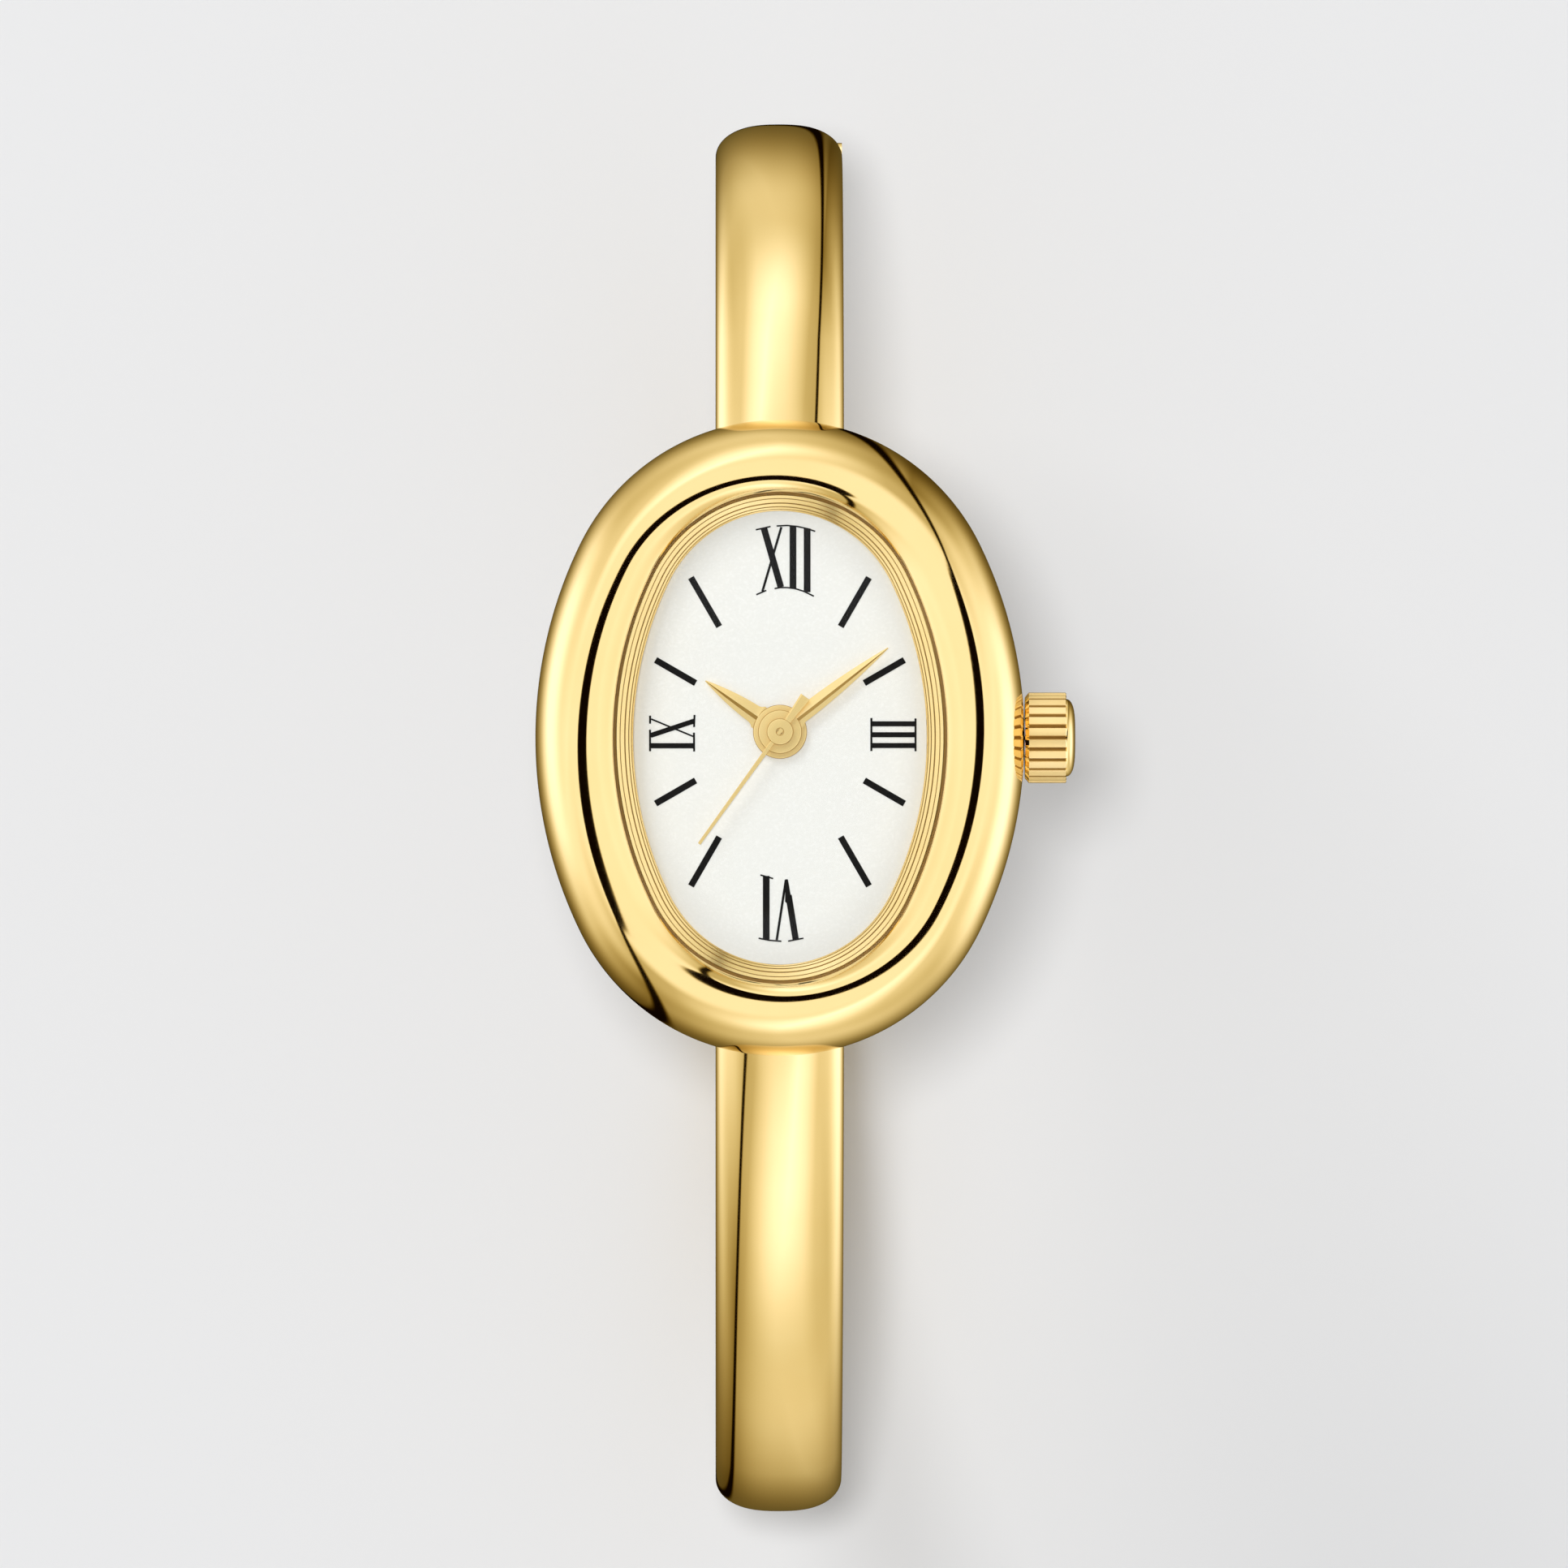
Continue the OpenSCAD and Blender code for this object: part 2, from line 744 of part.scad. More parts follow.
module stator() {
    ring_d = magnet_d + 2 * rotor_gap + 2 * stator_rim;
    color("lightsteelblue") at_axis()
        difference() {
            union() {
                post(ring_d, stator_z, stator_t, rotor_at[0], rotor_at[1]);
                translate([-coil_x - core_w / 2, rotor_at[1], stator_z])
                    cube([2 * coil_x + core_w, stator_w, stator_t]);
                for (side = [-1, 1])
                    translate([side * coil_x - core_w / 2, rotor_at[1], stator_z])
                        cube([core_w, coil_y - rotor_at[1] + core_w / 2, stator_t]);
            }
            bore(magnet_d + 2 * rotor_gap, stator_z, stator_t, rotor_at[0], rotor_at[1]);
        }
}

module place(at) translate([at[0], at[1], 0]) children();

// Turns of the train that put every tooth in a gap
fourth_turn = 0;
third_turn = mesh(fourth_turn, 8, third_a, 60);
third_pinion_turn = 0;
center_turn = mesh(third_pinion_turn, 8, third_a + 180, 64);
step_pinion_turn = 0;
fourth_wheel_turn = mesh(step_pinion_turn, 8, step_a + 180, 40);
rotor_turn = 0;
step_turn = mesh(rotor_turn, 8, rotor_a + 180, 48);
cannon_turn = 0;
minute_wheel_turn = mesh(cannon_turn, 10, 0, 30);
minute_pinion_turn = 0;
hour_wheel_turn = mesh(minute_pinion_turn, 8, 180, 32);

module rotor() {
    color("dimgray") at_axis() place(rotor_at) {
        post(magnet_d, stator_z, stator_t);
        gear(8, rotor_mod, third_z - wheel_t / 2, stator_z - third_z + wheel_t, rotor_turn);
        post(arbor_d, bridge_z + seat, plate_z + plate_t / 2 - bridge_z - 2 * seat);
    }
}

module intermediate_wheel() {
    color("goldenrod") at_axis() place(step_at) {
        gear(48, rotor_mod, third_z, wheel_t, step_turn);
        gear(8, step_mod, fourth_z - wheel_t / 2, third_z - fourth_z + wheel_t, step_pinion_turn);
        post(arbor_d, bridge_z + seat, third_z + 2 * wheel_t - bridge_z - seat);
    }
}

module fourth_wheel() {
    color("goldenrod") at_axis() {
        gear(40, step_mod, fourth_z, wheel_t, fourth_wheel_turn);
        gear(8, train_mod, fourth_z + wheel_t / 2, center_z - pinion_gap - fourth_z - wheel_t);
        post(arbor_d, bridge_z + seat, second_z + hand_t / 2 - bridge_z - seat);
    }
}

module third_wheel() {
    color("goldenrod") at_axis() place(third_at) {
        gear(60, train_mod, third_z, wheel_t, third_turn);
        gear(8, train_third_mod, third_z + wheel_t / 2, plate_z - seat - third_z - wheel_t / 2);
        post(arbor_d, bridge_z + seat, plate_z + plate_t / 2 - bridge_z - 2 * seat);
    }
}

module center_wheel() {
    color("goldenrod") at_axis()
        difference() {
            union() {
                gear(64, train_third_mod, center_z, wheel_t, center_turn);
                post(sleeve_d, center_z, plate_top - center_z);
            }
            bore(sleeve_bore_d, center_z, plate_top - center_z);
        }
}

// Levels of the hands over the dial
dial_gap = 0.2;
hand_gap = 0.12;
hour_z = dial_top + dial_gap;
minute_z = hour_z + hand_t + hand_gap;
second_z = minute_z + hand_t + hand_gap;
cannon_sleeve_d = 0.62;
cannon_leaf_h = 0.3;
hand_grip = hand_t / 2;

module cannon_pinion() {
    color("silver") at_axis()
        difference() {
            union() {
                gear(10, dial_mod, cannon_z, cannon_leaf_h, cannon_turn);
                post(cannon_sleeve_d, cannon_z, minute_z + hand_grip - cannon_z);
            }
            bore(sleeve_bore_d, cannon_z, minute_z - cannon_z);
        }
}

module minute_wheel() {
    color("goldenrod") at_axis() place(minute_wheel_at)
        difference() {
            union() {
                gear(30, dial_mod, minute_wheel_z, wheel_t, minute_wheel_turn);
                gear(8, dial_mod, minute_wheel_z + wheel_t / 2,
                    hour_wheel_z + wheel_t / 2 - minute_wheel_z, minute_pinion_turn);
            }
            bore(post_d + 2 * fit, minute_wheel_z, wheel_t);
        }
}

module hour_wheel() {
    color("goldenrod") at_axis()
        difference() {
            union() {
                gear(32, dial_mod, hour_wheel_z, wheel_t, hour_wheel_turn);
                post(hour_sleeve_d, hour_wheel_z, hour_z + hand_grip - hour_wheel_z);
            }
            bore(cannon_sleeve_d + 2 * fit, hour_wheel_z, hour_z - hour_wheel_z);
        }
}

// Hands: hub diameters, widths at the hub and at the widest place
hour_hub_d = 2.26;
minute_hub_d = 1.83;
second_hub_d = 1.11;
hour_hand_w = 0.8;
minute_hand_w = 0.62;
second_hand_w = 0.19;
tail_w = 0.34;
tip_w = 0.08;
// Where a leaf is widest, as a share of its length
leaf_share = 0.3;
// Width at the hub as a share of the greatest width
neck_share = 0.9;

hour_hand_a = hour_mark_a + minute_hand_a / 12;

module leaf(l, w) {
    polygon([
        [-w * neck_share / 2, 0],
        [-w / 2, l * leaf_share],
        [-tip_w / 2, l],
        [tip_w / 2, l],
        [w / 2, l * leaf_share],
        [w * neck_share / 2, 0],
    ]);
}

module hour_hand() {
    color("gold") at_axis()
        difference() {
            union() {
                post(hour_hub_d, hour_z, hand_t);
                translate([0, 0, hour_z]) rotate(-hour_hand_a)
                    linear_extrude(hand_t) leaf(hour_l, hour_hand_w);
            }
            post(hour_sleeve_d, hour_z - over, over + hand_grip);
            bore(cannon_sleeve_d + 2 * fit, hour_z, hand_t);
        }
}

module minute_hand() {
    color("gold") at_axis()
        difference() {
            union() {
                post(minute_hub_d, minute_z, hand_t);
                translate([0, 0, minute_z]) rotate(-minute_hand_a)
                    linear_extrude(hand_t) leaf(minute_l, minute_hand_w);
            }
            post(cannon_sleeve_d, minute_z - over, over + hand_grip);
            bore(sleeve_bore_d, minute_z, hand_t);
        }
}

module second_hand() {
    color("gold") at_axis()
        difference() {
            union() {
                post(second_hub_d, second_z, hand_t);
                translate([0, 0, second_z]) rotate(-second_hand_a)
                    linear_extrude(hand_t) polygon([
                        [-tail_w / 2, -tail_l],
                        [-second_hand_w / 2, 0],
                        [-tip_w / 2, second_l],
                        [tip_w / 2, second_l],
                        [second_hand_w / 2, 0],
                        [tail_w / 2, -tail_l],
                    ]);
            }
            post(arbor_d, second_z - over, over + hand_t / 2);
        }
}

// Crown and stem, drawn along the crown's axis
// Length of the stem inside the main plate's edge
stem_inside = 3.4;
crown_gap = 0.08;
crown_x = half_w + crown_gap;
recess_d = 2.5;
// The tube still reaches into the crown when the crown is pulled out
tube_grip = 0.4;
tube_out = crown_pull + tube_grip;
recess_l = tube_out + 3 * crown_gap;
stem_tip_x = half_w - plate_in - stem_inside + move_gap;
pinion_l = 0.7;
pinion_room = 0.5;
pinion_d = stem_d + 2 * seat;
groove_x = stem_tip_x + pinion_l + pinion_room;
groove_w = 0.4;
groove_d = stem_d * 0.6;
// Depth of the crown's flutes and its chamfers
flute_d = 0.16;
crown_edge = 0.2;
cap_d = crown_d - 2 * crown_edge - flute_d;

module crown_axis(x) translate([x, 0, crown_z]) rotate([0, 90, 0]) children();

module stem() {
    color("silver")
        difference() {
            crown_axis(stem_tip_x)
                cylinder(d = stem_d - 2 * seat, h = crown_x + recess_l - stem_tip_x, $fn = small);
            crown_axis(groove_x) difference() {
                cylinder(d = 2 * stem_d, h = groove_w, $fn = small);
                translate([0, 0, -over])
                    cylinder(d = groove_d, h = groove_w + 2 * over, $fn = small);
            }
            crown_axis(stem_tip_x - over)
                difference() {
                    cylinder(d = 2 * stem_d, h = pinion_l + over, $fn = small);
                    translate([0, 0, -over])
                        cylinder(d = groove_d, h = pinion_l + 3 * over, $fn = small);
                }
        }
}

module sliding_pinion() {
    color("goldenrod")
        crown_axis(stem_tip_x)
            difference() {
                linear_extrude(pinion_l) circle(d = pinion_d, $fn = 12);
                translate([0, 0, -over])
                    cylinder(d = groove_d, h = pinion_l + 2 * over, $fn = small);
            }
}

// The lever hooks into the stem's groove and runs under the main plate
lever_t = 0.2;
lever_w = groove_w - 2 * fit;
lever_l = 1.2;

module setting_lever() {
    lever_z = crown_z - stem_d / 2 - lever_t - fit;
    color("slategray") {
        translate([groove_x + fit, -stem_d, lever_z]) cube([lever_w, 2 * stem_d, lever_t]);
        for (side = [-1, 1])
            translate([
                groove_x + fit,
                side * (groove_d / 2 + fit + lever_t / 4) - lever_t / 4,
                lever_z,
            ])
                cube([lever_w, lever_t / 2, crown_z - lever_z]);
        translate([groove_x + fit - lever_l, stem_d / 2, lever_z])
            cube([lever_l, stem_d / 2, lever_t]);
    }
}

module crown() {
    flute_step = 360 / crown_flutes;
    flute_n = crown_flutes;
    color("gold")
        difference() {
            union() {
                crown_axis(crown_x) linear_extrude(crown_l) polygon([
                    for (i = [0:flute_n - 1])
                        for (c = [[flute_d, 0], [0, 1], [0, 2]])
                            let (a = (i + c[1] / 3) * flute_step)
                            (crown_d / 2 - c[0]) * [cos(a), sin(a)],
                ]);
                crown_axis(crown_x + crown_l / 2) rotate_extrude($fn = fine) polygon(concat(
                    [[0, 0], [cap_d / 2, 0]],
                    [
                        for (t = spread(0, 90, 8))
                            [
                                cap_d / 2 * cos(t),
                                crown_l / 2 + crown_dome * sin(t),
                            ],
                    ],
                    [[0, crown_l / 2 + crown_dome]]
                ));
            }
            crown_axis(crown_x - over) cylinder(d = recess_d, h = over + recess_l, $fn = small);
            for (end = [0, 1])
                crown_axis(crown_x + end * crown_l) mirror([0, 0, end])
                    rotate_extrude($fn = fine) polygon([
                        [crown_d / 2 - crown_edge, -seat],
                        [crown_d / 2 + over, -seat],
                        [crown_d / 2 + over, crown_edge + over],
                    ]);
        }
}

gasket_ring_r = 0.17;

module crown_gasket() {
    color("black")
        crown_axis(half_w + tube_out - 2 * gasket_ring_r)
            rotate_extrude($fn = small)
                translate([tube_d / 2 + gasket_ring_r + fit, 0])
                    circle(r = gasket_ring_r, $fn = 16);
}

module crown_tube() {
    color("silver")
        crown_axis(half_w - cavity_in - holder_w / 2)
            difference() {
                cylinder(d = tube_d, h = cavity_in + holder_w / 2 + tube_out, $fn = small);
                translate([0, 0, -over])
                    cylinder(
                        d = stem_d - 2 * seat + 2 * fit,
                        h = cavity_in + holder_w + tube_out + 2 * over,
                        $fn = small
                    );
            }
}

// Bangle: an oval of four arcs, shifted so that its flat top is centred under the case
band_end_y = band_l / 2 - band_side_r;
band_flat_c = (pow(band_end_y, 2) - pow(band_h / 2 - band_side_r, 2))
    / (2 * (band_h / 2 - band_side_r));
band_flat_r = band_h / 2 + band_flat_c;
band_meet_a = atan2(band_flat_c, band_end_y);
band_shift = band_flat_c * sin(band_turn);
// The arms meet the case's ends at the height of the widest line there
root_in = 0.33;
root_y = half_l - root_in;
root_a = asin(root_y / band_flat_r);
root_z = widest_h - fall(half_l) - seat * 2;
band_c_z = root_z - band_flat_r * cos(root_a) + band_flat_c * cos(band_turn);

function turned(y, z) = [
    y * cos(band_turn) - z * sin(band_turn) - band_shift,
    y * sin(band_turn) + z * cos(band_turn) + band_c_z,
];

// Arc that the normal angle a, from +Z towards +Y, lies on: [centre y, centre z, radius]
function band_arc(a) =
    let (b = (a + band_turn + 540) % 360 - 180)
    abs(b) <= 90 - band_meet_a ? concat(turned(0, -band_flat_c), band_flat_r)
    : abs(b) >= 90 + band_meet_a ? concat(turned(0, band_flat_c), band_flat_r)
    : concat(turned(sign(b) * band_end_y, 0), band_side_r);

// Point at the angle a, raised over the outer face by h
function band_pt(a, h) =
    let (c = band_arc(a))
    [c[0] + (c[2] + h) * sin(a), c[1] + (c[2] + h) * cos(a)];

// D section: a domed outer face over a flat inner face with round corners
dome_n = 12;
dome_power = 2.6;
corner_r = 0.45;
corner_n = 3;

function band_section(grow, depth) =
    let (hw = band_w / 2 + grow)
    concat(
        [
            for (t = spread(-90, 0, corner_n))
                [hw - corner_r + corner_r * cos(t), -depth - grow + corner_r + corner_r * sin(t)],
        ],
        [
            for (i = [0:dome_n])
                let (s = cos(180 * i / dome_n))
                [
                    hw * s,
                    grow - band_dome + band_dome * sqrt(max(0, 1 - pow(abs(s), dome_power))),
                ],
        ],
        [
            for (t = spread(180, 270, corner_n))
                [-hw + corner_r + corner_r * cos(t), -depth - grow + corner_r + corner_r * sin(t)],
        ],
        [[-hw + corner_r, -depth - grow]]
    );

function band_ring(a) = [
    for (s = band_section(0, band_t))
        let (p = band_pt(a, s[1]))
        [s[0], p[0], p[1]],
];

// The same section moved back along the arm's own line
function band_ring_back(a, l) = [
    for (p = band_ring(a))
        [p[0], p[1] - l * cos(a), p[2] + l * sin(a)],
];

// Frame on the bangle at the angle a: y points out, z points back towards the 12 side
module band_frame(a) {
    p = band_pt(a, 0);
    translate([0, p[0], p[1]]) rotate([90 - a, 0, 0]) children();
}

module root_frame() band_frame(root_a) children();

module at_roots() {
    children();
    mirror([0, 1, 0]) children();
}

ring_step = 4.5;

function steps_between(from, to) =
    let (n = ceil(abs(to - from) / ring_step))
    concat(spread(from, to, n), [to]);

// Screws that hold the tongues
arm_screw_x = 1.3;
arm_screw_head_d = 1.2;
arm_screw_head_t = 0.4;
screw_reach = 1;

module arm_screw_places() {
    for (side = [-1, 1])
        translate([side * arm_screw_x, -band_t, tongue_l / 2]) rotate([-90, 0, 0]) children();
}

module arm_screw_hole(reach) {
    translate([0, 0, -over])
        cylinder(d = arm_screw_d + 2 * fit, h = band_t + reach + over + seat, $fn = small);
}

module arm_screw_seat() {
    arm_screw_hole(over);
    translate([0, 0, -over])
        cylinder(d = arm_screw_head_d + 2 * fit, h = arm_screw_head_t + over, $fn = small);
}

module arm_screws() {
    color("goldenrod")
        at_roots() root_frame() arm_screw_places() {
            cylinder(d = arm_screw_head_d, h = arm_screw_head_t - seat, $fn = small);
            cylinder(d = arm_screw_d, h = band_t + screw_reach, $fn = small);
        }
}

// Hinge and clasp
hinge_depth = 1.05;
// The relief lets the square ends turn through the opening angle and a spare one
relief_spare_a = 12.3;
relief_r = hinge_depth / cos((gate_open + relief_spare_a) / 2);
knuckle_gap = 0.08;
knuckle_w = hinge_w / 3;
leg_t = 1.1;
clasp_depth = 1;
end_gap = 0.15;

hinge_at = band_pt(-hinge_a, -hinge_depth);
clasp_at = band_pt(clasp_a, -clasp_depth);
swing_a = atan2(clasp_at[1] - hinge_at[1], clasp_at[0] - hinge_at[0]);
end_gap_a = end_gap / band_side_r * 180 / PI;

module hinge_frame() band_frame(-hinge_a) translate([0, -hinge_depth, 0]) children();

module clasp_frame() translate([0, clasp_at[0], clasp_at[1]]) rotate([swing_a, 0, 0]) children();

module across(x, w) translate([x - w / 2, 0, 0]) rotate([0, 90, 0]) children();

module hinge_relief() {
    across(0, band_w + 2 * over) cylinder(r = relief_r, h = band_w + 2 * over, $fn = fine);
}

// Knuckle centred at x with a leg towards the piece that carries it
module knuckle(x, w, side) {
    across(x, w) cylinder(r = knuckle_r, h = w, $fn = fine);
    translate([x - w / 2, -leg_t / 2, side > 0 ? 0 : -relief_r - corner_r])
        cube([w, leg_t, relief_r + corner_r]);
}

module hinge_bore() {
    across(0, band_w + 2 * over)
        cylinder(d = hinge_pin_d + 2 * fit, h = band_w + 2 * over, $fn = small);
}

module upper_arm() {
    color("gold")
        difference() {
            skin(
                concat(
                    [band_ring_back(root_a, tongue_l)],
                    [for (a = steps_between(root_a, clasp_a)) band_ring(a)]
                ),
                false
            );
            root_frame() arm_screw_places() arm_screw_seat();
            clasp_frame() {
                translate([-snap_w / 2 - end_gap, -snap_t / 2 - end_gap, -2 * over])
                    cube([snap_w + 2 * end_gap, snap_t + 2 * end_gap, snap_l + 2 * over + end_gap]);
                translate([snap_w / 2, 0, button_up]) rotate([0, 90, 0])
                    cylinder(d = plunger_d + 2 * fit, h = band_w, $fn = small);
                translate([button_floor_x, 0, button_up]) rotate([0, 90, 0])
                    cylinder(d = button_d + 2 * fit, h = band_w, $fn = small);
            }
        }
}

module lower_arm() {
    color("gold")
        difference() {
            union() {
                difference() {
                    skin(
                        concat(
                            [for (a = steps_between(-hinge_a, -root_a)) band_ring(a)],
                            [band_ring_back(-root_a, -tongue_l)]
                        ),
                        false
                    );
                    hinge_frame() hinge_relief();
                }
                hinge_frame() for (side = [-1, 1]) knuckle(side * knuckle_w, knuckle_w - knuckle_gap, -1);
            }
            hinge_frame() hinge_bore();
            mirror([0, 1, 0]) root_frame() arm_screw_places() arm_screw_seat();
        }
}

module back_gate() {
    color("gold")
        difference() {
            union() {
                difference() {
                    skin(
                        [for (a = steps_between(clasp_a + end_gap_a, 360 - hinge_a)) band_ring(a)],
                        false
                    );
                    hinge_frame() hinge_relief();
                }
                hinge_frame() knuckle(0, knuckle_w - knuckle_gap, 1);
                clasp_frame()
                    translate([-snap_w / 2, -snap_t / 2, -snap_l / 2])
                        cube([snap_w, snap_t, snap_l * 3 / 2]);
            }
            hinge_frame() hinge_bore();
        }
}

module hinge_pin() {
    color("goldenrod")
        hinge_frame() across(0, hinge_w) cylinder(d = hinge_pin_d, h = hinge_w, $fn = small);
}

// Release button in the side of the upper arm
plunger_d = 0.5;
button_up = snap_l / 2;
button_floor_x = 1.95;
spring_l = 0.2;
button_x = button_floor_x + button_travel + spring_l + seat;
// The button ends level with the bangle's side
button_t = band_w / 2 - button_x;

module clasp_button() {
    color("gold") clasp_frame() translate([0, 0, button_up]) rotate([0, 90, 0]) {
        translate([0, 0, button_x]) cylinder(d = button_d, h = button_t, $fn = small);
        translate([0, 0, snap_w / 2 + end_gap + button_travel])
            cylinder(
                d = plunger_d,
                h = button_x - snap_w / 2 - end_gap - button_travel + seat,
                $fn = small
            );
    }
}

module clasp_spring() {
    color("silver") clasp_frame() translate([button_floor_x, 0, button_up]) rotate([0, 90, 0])
        difference() {
            cylinder(d = button_d - 2 * seat, h = spring_l, $fn = small);
            translate([0, 0, -over])
                cylinder(d = plunger_d + 4 * fit, h = spring_l + 2 * over, $fn = small);
        }
}

case_shell();
case_back();
back_gasket();
crystal();
crystal_gasket();
dial_ring();
dial();
dial_printing();
movement_ring();
main_plate();
train_bridge();
bridge_screws();
button_cell();
cell_contact();
circuit_board();
quartz_can();
driver_chip();
coil_core();
coil_winding();
stator();
rotor();
intermediate_wheel();
fourth_wheel();
third_wheel();
center_wheel();
cannon_pinion();
minute_wheel();
hour_wheel();
hour_hand();
minute_hand();
second_hand();
stem();
sliding_pinion();
setting_lever();
crown();
crown_gasket();
crown_tube();
upper_arm();
lower_arm();
arm_screws();
back_gate();
hinge_pin();
clasp_button();
clasp_spring();
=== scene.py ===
# %% [markdown]
# # An oval bangle watch, dressed in Blender
#
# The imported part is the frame: every CAD node is already in its place, in metres, with the dial
# facing +Z, 12 o'clock at +Y and the crown at +X. This lesson gives each visible piece its
# finished surface. Polished metal shows every facet, so the curved pieces are modelled again
# from the same formulas with many more points, and they replace their CAD nodes.

# %% Load the frame
from itertools import product
from math import asin, atan2, ceil, cos, degrees, pi, radians, sin, sqrt, tan

import bmesh
import bpy
from mathutils import Matrix, Vector


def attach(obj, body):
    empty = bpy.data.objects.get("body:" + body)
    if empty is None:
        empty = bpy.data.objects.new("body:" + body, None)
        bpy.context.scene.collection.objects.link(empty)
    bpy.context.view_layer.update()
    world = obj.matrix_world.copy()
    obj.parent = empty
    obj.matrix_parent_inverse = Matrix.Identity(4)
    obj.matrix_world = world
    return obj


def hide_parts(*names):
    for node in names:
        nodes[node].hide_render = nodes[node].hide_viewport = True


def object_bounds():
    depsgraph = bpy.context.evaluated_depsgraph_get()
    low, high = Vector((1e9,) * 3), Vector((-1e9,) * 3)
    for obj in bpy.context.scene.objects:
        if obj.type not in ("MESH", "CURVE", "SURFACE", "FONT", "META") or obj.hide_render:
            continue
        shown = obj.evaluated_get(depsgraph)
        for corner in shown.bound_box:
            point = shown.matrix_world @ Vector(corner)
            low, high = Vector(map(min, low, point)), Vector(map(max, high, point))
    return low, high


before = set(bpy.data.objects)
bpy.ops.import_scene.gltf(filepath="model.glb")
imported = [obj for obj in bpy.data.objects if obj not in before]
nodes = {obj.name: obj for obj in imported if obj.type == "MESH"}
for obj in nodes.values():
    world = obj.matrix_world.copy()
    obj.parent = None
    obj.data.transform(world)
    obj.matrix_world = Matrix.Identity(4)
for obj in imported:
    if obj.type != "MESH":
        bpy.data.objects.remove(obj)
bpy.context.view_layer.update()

# %% [markdown]
# ## Units and small helpers
#
# The sizes below are in millimetres, as a watchmaker writes them, and one function turns them
# into Blender's metres. A mesh piece is a list of points and faces, a material, the body it
# rides on and the CAD nodes that it replaces.

# %% Make a piece
MM = 0.001
scene = bpy.context.scene


def finish_piece(piece, material, body, replaced=(), sharp=35):
    """Smooth shading up to an angle, then the material and the body."""
    piece.data.materials.clear()
    piece.data.materials.append(material)
    for face in piece.data.polygons:
        face.use_smooth = True
    piece.data.set_sharp_from_angle(angle=radians(sharp))
    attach(piece, body)
    if replaced:
        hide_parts(*replaced)
    print(piece.name, "faces:", len(piece.data.polygons))


def mesh_object(name, points, faces):
    """A mesh object from points in millimetres, with its faces turned outwards."""
    mesh = bpy.data.meshes.new(name)
    mesh.from_pydata([[c * MM for c in p] for p in points], [], faces)
    shape = bmesh.new()
    shape.from_mesh(mesh)
    bmesh.ops.recalc_face_normals(shape, faces=shape.faces)
    shape.to_mesh(mesh)
    shape.free()
    piece = bpy.data.objects.new(name, mesh)
    scene.collection.objects.link(piece)
    return piece


def spread(low, high, count):
    """Evenly spaced values from low up to, but without, high."""
    return [low + (high - low) * i / count for i in range(count)]


# %% [markdown]
# Most of the watch is a section carried round a path: the case follows the oval, and the bangle
# follows its own arcs. `skin` joins a list of sections of equal length into one closed surface.

# %% Skin a row of sections
def row_quads(rows, count, ringed=False):
    """Quads between closed rows of points. If ringed, the last row joins the first."""
    faces = []
    for i in range(rows if ringed else rows - 1):
        low, high = i * count, (i + 1) % rows * count
        for j in range(count):
            k = (j + 1) % count
            faces.append((low + j, low + k, high + k, high + j))
    return faces


def skin(name, sections, ringed):
    n = len(sections)
    m = len(sections[0])
    points = [p for s in sections for p in s]
    faces = row_quads(n, m, ringed)
    if not ringed:
        faces.append(tuple(reversed(range(m))))
        faces.append(tuple((n - 1) * m + j for j in range(m)))
    return mesh_object(name, points, faces)


# %% [markdown]
# Holes, slots and reliefs are cut by a boolean modifier that is applied at once. A cutter is a
# box or a cylinder in the place's own frame, and it is deleted after the cut.

# %% Cutters and cuts
ROUND = 96
WELD_REACH = 1e-7


def box_tool(low, high, place):
    """A box between two corners in the place's frame."""
    corners = [place @ Vector(c) for c in product(*zip(low, high))]
    faces = [(0, 1, 3, 2), (4, 6, 7, 5), (0, 4, 5, 1), (2, 3, 7, 6), (0, 2, 6, 4), (1, 5, 7, 3)]
    return mesh_object("tool", corners, faces)


def welded(piece):
    """Joins points that lie on top of each other, and closes a hole that a cut left open."""
    shape = bmesh.new()
    shape.from_mesh(piece.data)
    bmesh.ops.remove_doubles(shape, verts=shape.verts, dist=WELD_REACH)
    bmesh.ops.holes_fill(shape, edges=[e for e in shape.edges if e.is_boundary], sides=0)
    bmesh.ops.recalc_face_normals(shape, faces=shape.faces)
    shape.to_mesh(piece.data)
    shape.free()
    return piece


def polar(place, r, a, z):
    """The point at a radius, an angle and a height in the place's frame."""
    return place @ Vector((r * cos(a), r * sin(a), z))


def turned_tool(profile, place, name="tool"):
    """A closed profile of (radius, height) turned round the place's z axis."""
    sections = [[polar(place, r, a, z) for r, z in profile] for a in spread(0, 2 * pi, ROUND)]
    return welded(skin(name, sections, True))


def rod_tool(radius, z0, z1, place):
    return turned_tool([(0, z0), (radius, z0), (radius, z1), (0, z1)], place)


def cut(piece, *tools, operation="DIFFERENCE"):
    for tool in tools:
        change = piece.modifiers.new("cut", "BOOLEAN")
        change.operation = operation
        change.solver = "EXACT"
        change.object = tool
        settled = piece.evaluated_get(bpy.context.evaluated_depsgraph_get())
        mesh = bpy.data.meshes.new_from_object(settled)
        piece.modifiers.clear()
        piece.data = mesh
        bpy.data.objects.remove(tool)


def join(piece, *tools):
    cut(piece, *tools, operation="UNION")


# %% [markdown]
# ## Writing materials as sums
#
# A shader is a graph of nodes. Read as code it is a sum, so one class wraps a node's output and
# turns Python's operators into Math and Vector Math nodes. `Graph.blend` mixes colours, and
# `Graph.add` makes any node: its settings are set first, and then its sockets' values or links.

